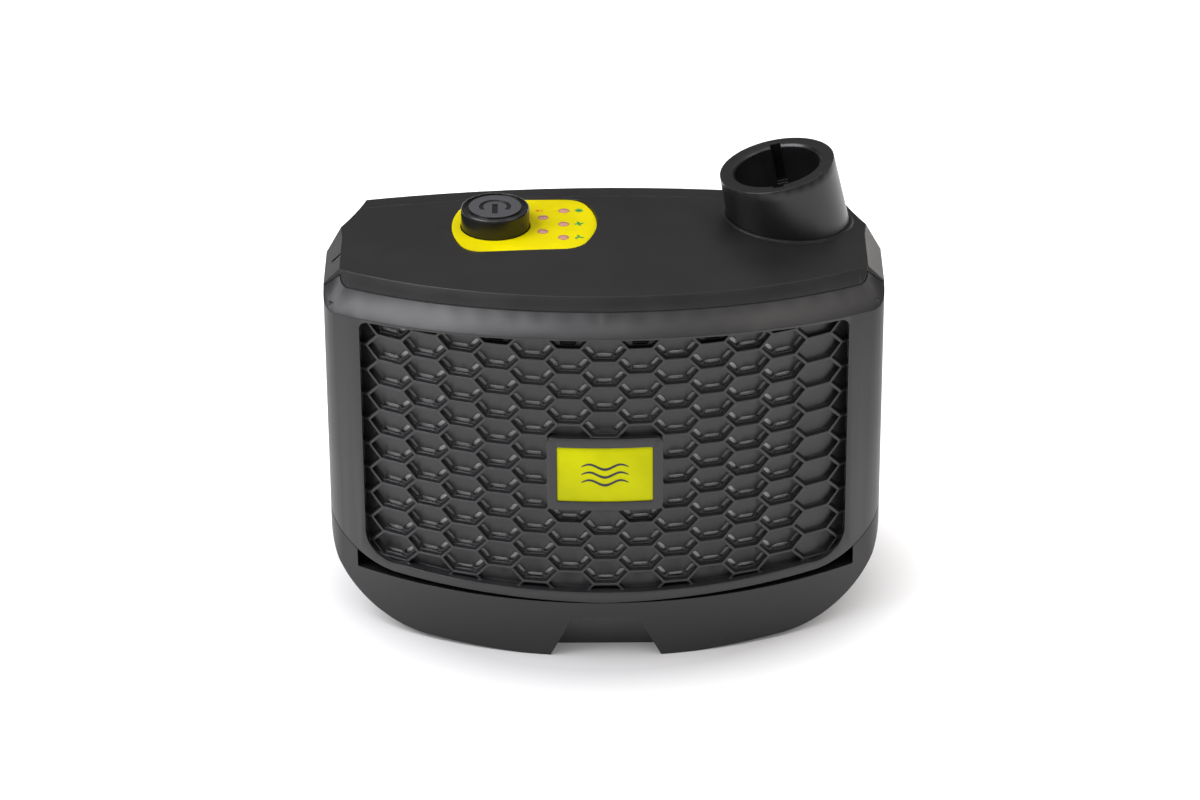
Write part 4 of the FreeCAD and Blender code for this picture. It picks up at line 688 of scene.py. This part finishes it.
def keypad_signs():
    """Three fan signs beside the right-hand lamps and a battery sign by the left-hand ones."""
    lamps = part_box("led_lenses")
    left_x, right_x = lamps[0].x + LAMP_R, lamps[1].x - LAMP_R
    rows = (lamps[1].y - LAMP_R, (lamps[0].y + lamps[1].y) / 2, lamps[0].y + LAMP_R)
    signs = (("many", fan_sign(9, 1.9, 0.5, 0.34, 0.5)), ("four", fan_sign(4, 2.0, 0.55, 0.62, 0.35)),
             ("three", fan_sign(3, 2.1, 0.5, 0.62, 0.30)))
    for (label, outlines), y in zip(signs, rows):
        flat_print("fan_sign_" + label, outlines, keypad_place(right_x + 6.1 * MM, y), "print_green",
                   "signal_yellow", "housing")
    flat_print("battery_sign", battery_sign(2.6, 1.5), keypad_place(left_x - 1.7 * MM, rows[0]), "print_red",
               "signal_yellow", "housing")


def badge_sign():
    """Three wavy lines for moving air, printed on the badge."""
    low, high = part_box("badge_plate")
    bow = BADGE_BOW
    mid_z = (low.z + high.z) / 2

    def place(x, z, rise):
        side = x * MM
        return Vector((side, low.y + bow - math.sqrt(bow ** 2 - side ** 2) - rise * MM, mid_z + z * MM))

    outlines = []
    half, steps, line = 9.5, 40, 0.62
    for level in (-3.6, 0.0, 3.6):
        middle = []
        for s in range(steps + 1):
            x = -half + 2 * half * s / steps
            middle.append((x, level + 1.15 * math.sin(2 * math.pi * 1.5 * s / steps)))
        for s in range(steps):
            (x0, z0), (x1, z1) = middle[s], middle[s + 1]
            taper = [line * (0.25 + 0.75 * math.sin(math.pi * t / steps) ** 0.5) for t in (s, s + 1)]
            outlines.append([(x0, z0 - taper[0]), (x1, z1 - taper[1]),
                             (x1, z1 + taper[1]), (x0, z0 + taper[0])])
    flat_print("air_sign", outlines, place, "print_black", "signal_yellow", "filter_cover")


fleece_mat()
pleated_paper()
foam_gasket()
coil_spring()
leads()
keypad_signs()
badge_sign()


# ------------------------------------------------------------------ stage, light and camera
def area_light(name, place, aim, size, power, color):
    data = bpy.data.lights.new(name, "AREA")
    data.shape = "RECTANGLE"
    data.size, data.size_y = size
    data.energy = power
    data.color = color
    obj = bpy.data.objects.new(name, data)
    bpy.context.scene.collection.objects.link(obj)
    obj.location = place
    obj.rotation_euler = (Vector(aim) - Vector(place)).to_track_quat("-Z", "Y").to_euler()
    return obj


SOFTBOXES = (
    # name, direction from the object, distance, size, radiance, colour
    ("key", (-0.62, -0.22, 0.75), 1.5, (1.1, 0.9), 7.0, (0.95, 0.95, 1.0)),
    ("front", (-0.05, -0.49, 0.87), 1.6, (0.8, 0.5), 3.6, (1.0, 0.98, 1.0)),
    ("warm", (0.62, -0.24, 0.75), 1.5, (0.8, 0.8), 2.2, (1.0, 0.93, 0.88)),
    ("rear", (0.60, 0.80, 0.0), 2.0, (0.8, 0.36), 3.8, (1.0, 0.95, 0.90)),
)


def build_world():
    """Grey surround that darkens towards the horizon, so falling faces turn darker."""
    world = bpy.data.worlds.new("studio")
    bpy.context.scene.world = world
    world.use_nodes = True
    tree = world.node_tree
    coords = tree.nodes.new("ShaderNodeTexCoord")
    axes = tree.nodes.new("ShaderNodeSeparateXYZ")
    ramp = tree.nodes.new("ShaderNodeMapRange")
    tree.links.new(coords.outputs["Generated"], axes.inputs["Vector"])
    tree.links.new(axes.outputs["Z"], ramp.inputs["Value"])
    for key, value in (("From Min", 0.34), ("From Max", 0.60), ("To Min", 0.05), ("To Max", 0.64)):
        ramp.inputs[key].default_value = value
    back = tree.nodes["Background"]
    back.inputs["Color"].default_value = (1.0, 0.97, 0.97, 1.0)
    tree.links.new(ramp.outputs["Result"], back.inputs["Strength"])


def build_stage():
    mesh = bpy.data.meshes.new("floor")
    half = FLOOR_HALF
    mesh.from_pydata([(-half, -half, 0), (half, -half, 0), (half, half, 0), (-half, half, 0)], [],
                     [(0, 1, 2, 3)])
    floor = bpy.data.objects.new("floor", mesh)
    bpy.context.scene.collection.objects.link(floor)
    floor.location.z = cad_box[0][2] - 0.0002
    g = Graph("floor_white")
    oval = g.add("ShaderNodeVectorMath", {0: g.place, 1: (0.75, 1.0, 1.0)}, operation="MULTIPLY")
    distance = g.add("ShaderNodeVectorMath", {0: oval.outputs["Vector"]}, operation="LENGTH").outputs["Value"]
    # Floor emission is dimmed near the object to paint a soft contact shadow, and rises farther out so the
    # floor glows brighter than its lamps light it.
    glow_and_painted_shadow = g.remap(distance, 0.066, 0.12, 0.12, 1.05)
    mesh.materials.append(g.finish(rgb(0.5, 0.5, 0.5), 0.9, None, Emission_Color=rgb(1, 1, 1),
                                   Emission_Strength=glow_and_painted_shadow, Specular_IOR_Level=0.1))
    build_world()
    for name, toward, reach, size, radiance, color in SOFTBOXES:
        place = Vector((0, 0, 0.1)) + Vector(toward).normalized() * reach
        power = radiance * math.pi * size[0] * size[1]
        area_light(name, place, (0, 0, 0.1), size, power, color)


def build_camera():
    """Long lens, about 29 degrees above the cover's front."""
    low = Vector(cad_box[0])
    aim = Vector((CAMERA_AIM[0], low.y + CAMERA_AIM[1], low.z + CAMERA_AIM[2]))
    rise = math.radians(CAMERA_RISE_DEG)
    reach = CAMERA_REACH
    roll = math.radians(CAMERA_ROLL_DEG)
    forward = Vector((0, math.cos(rise), -math.sin(rise)))
    up = Vector((0, math.sin(rise), math.cos(rise)))
    right = Vector((1, 0, 0))
    side = right * math.cos(roll) - up * math.sin(roll)
    top = right * math.sin(roll) + up * math.cos(roll)
    data = bpy.data.cameras.new("camera")
    data.sensor_width = 36.0
    data.lens = CAMERA_LENS_MM
    data.clip_end = 60.0
    camera = bpy.data.objects.new("camera", data)
    bpy.context.scene.collection.objects.link(camera)
    turn = Matrix((side, top, -forward)).transposed().to_4x4()
    camera.matrix_world = Matrix.Translation(aim - forward * reach) @ turn
    bpy.context.scene.camera = camera


build_stage()
build_camera()
scene = bpy.context.scene
scene.view_settings.view_transform = "Standard"
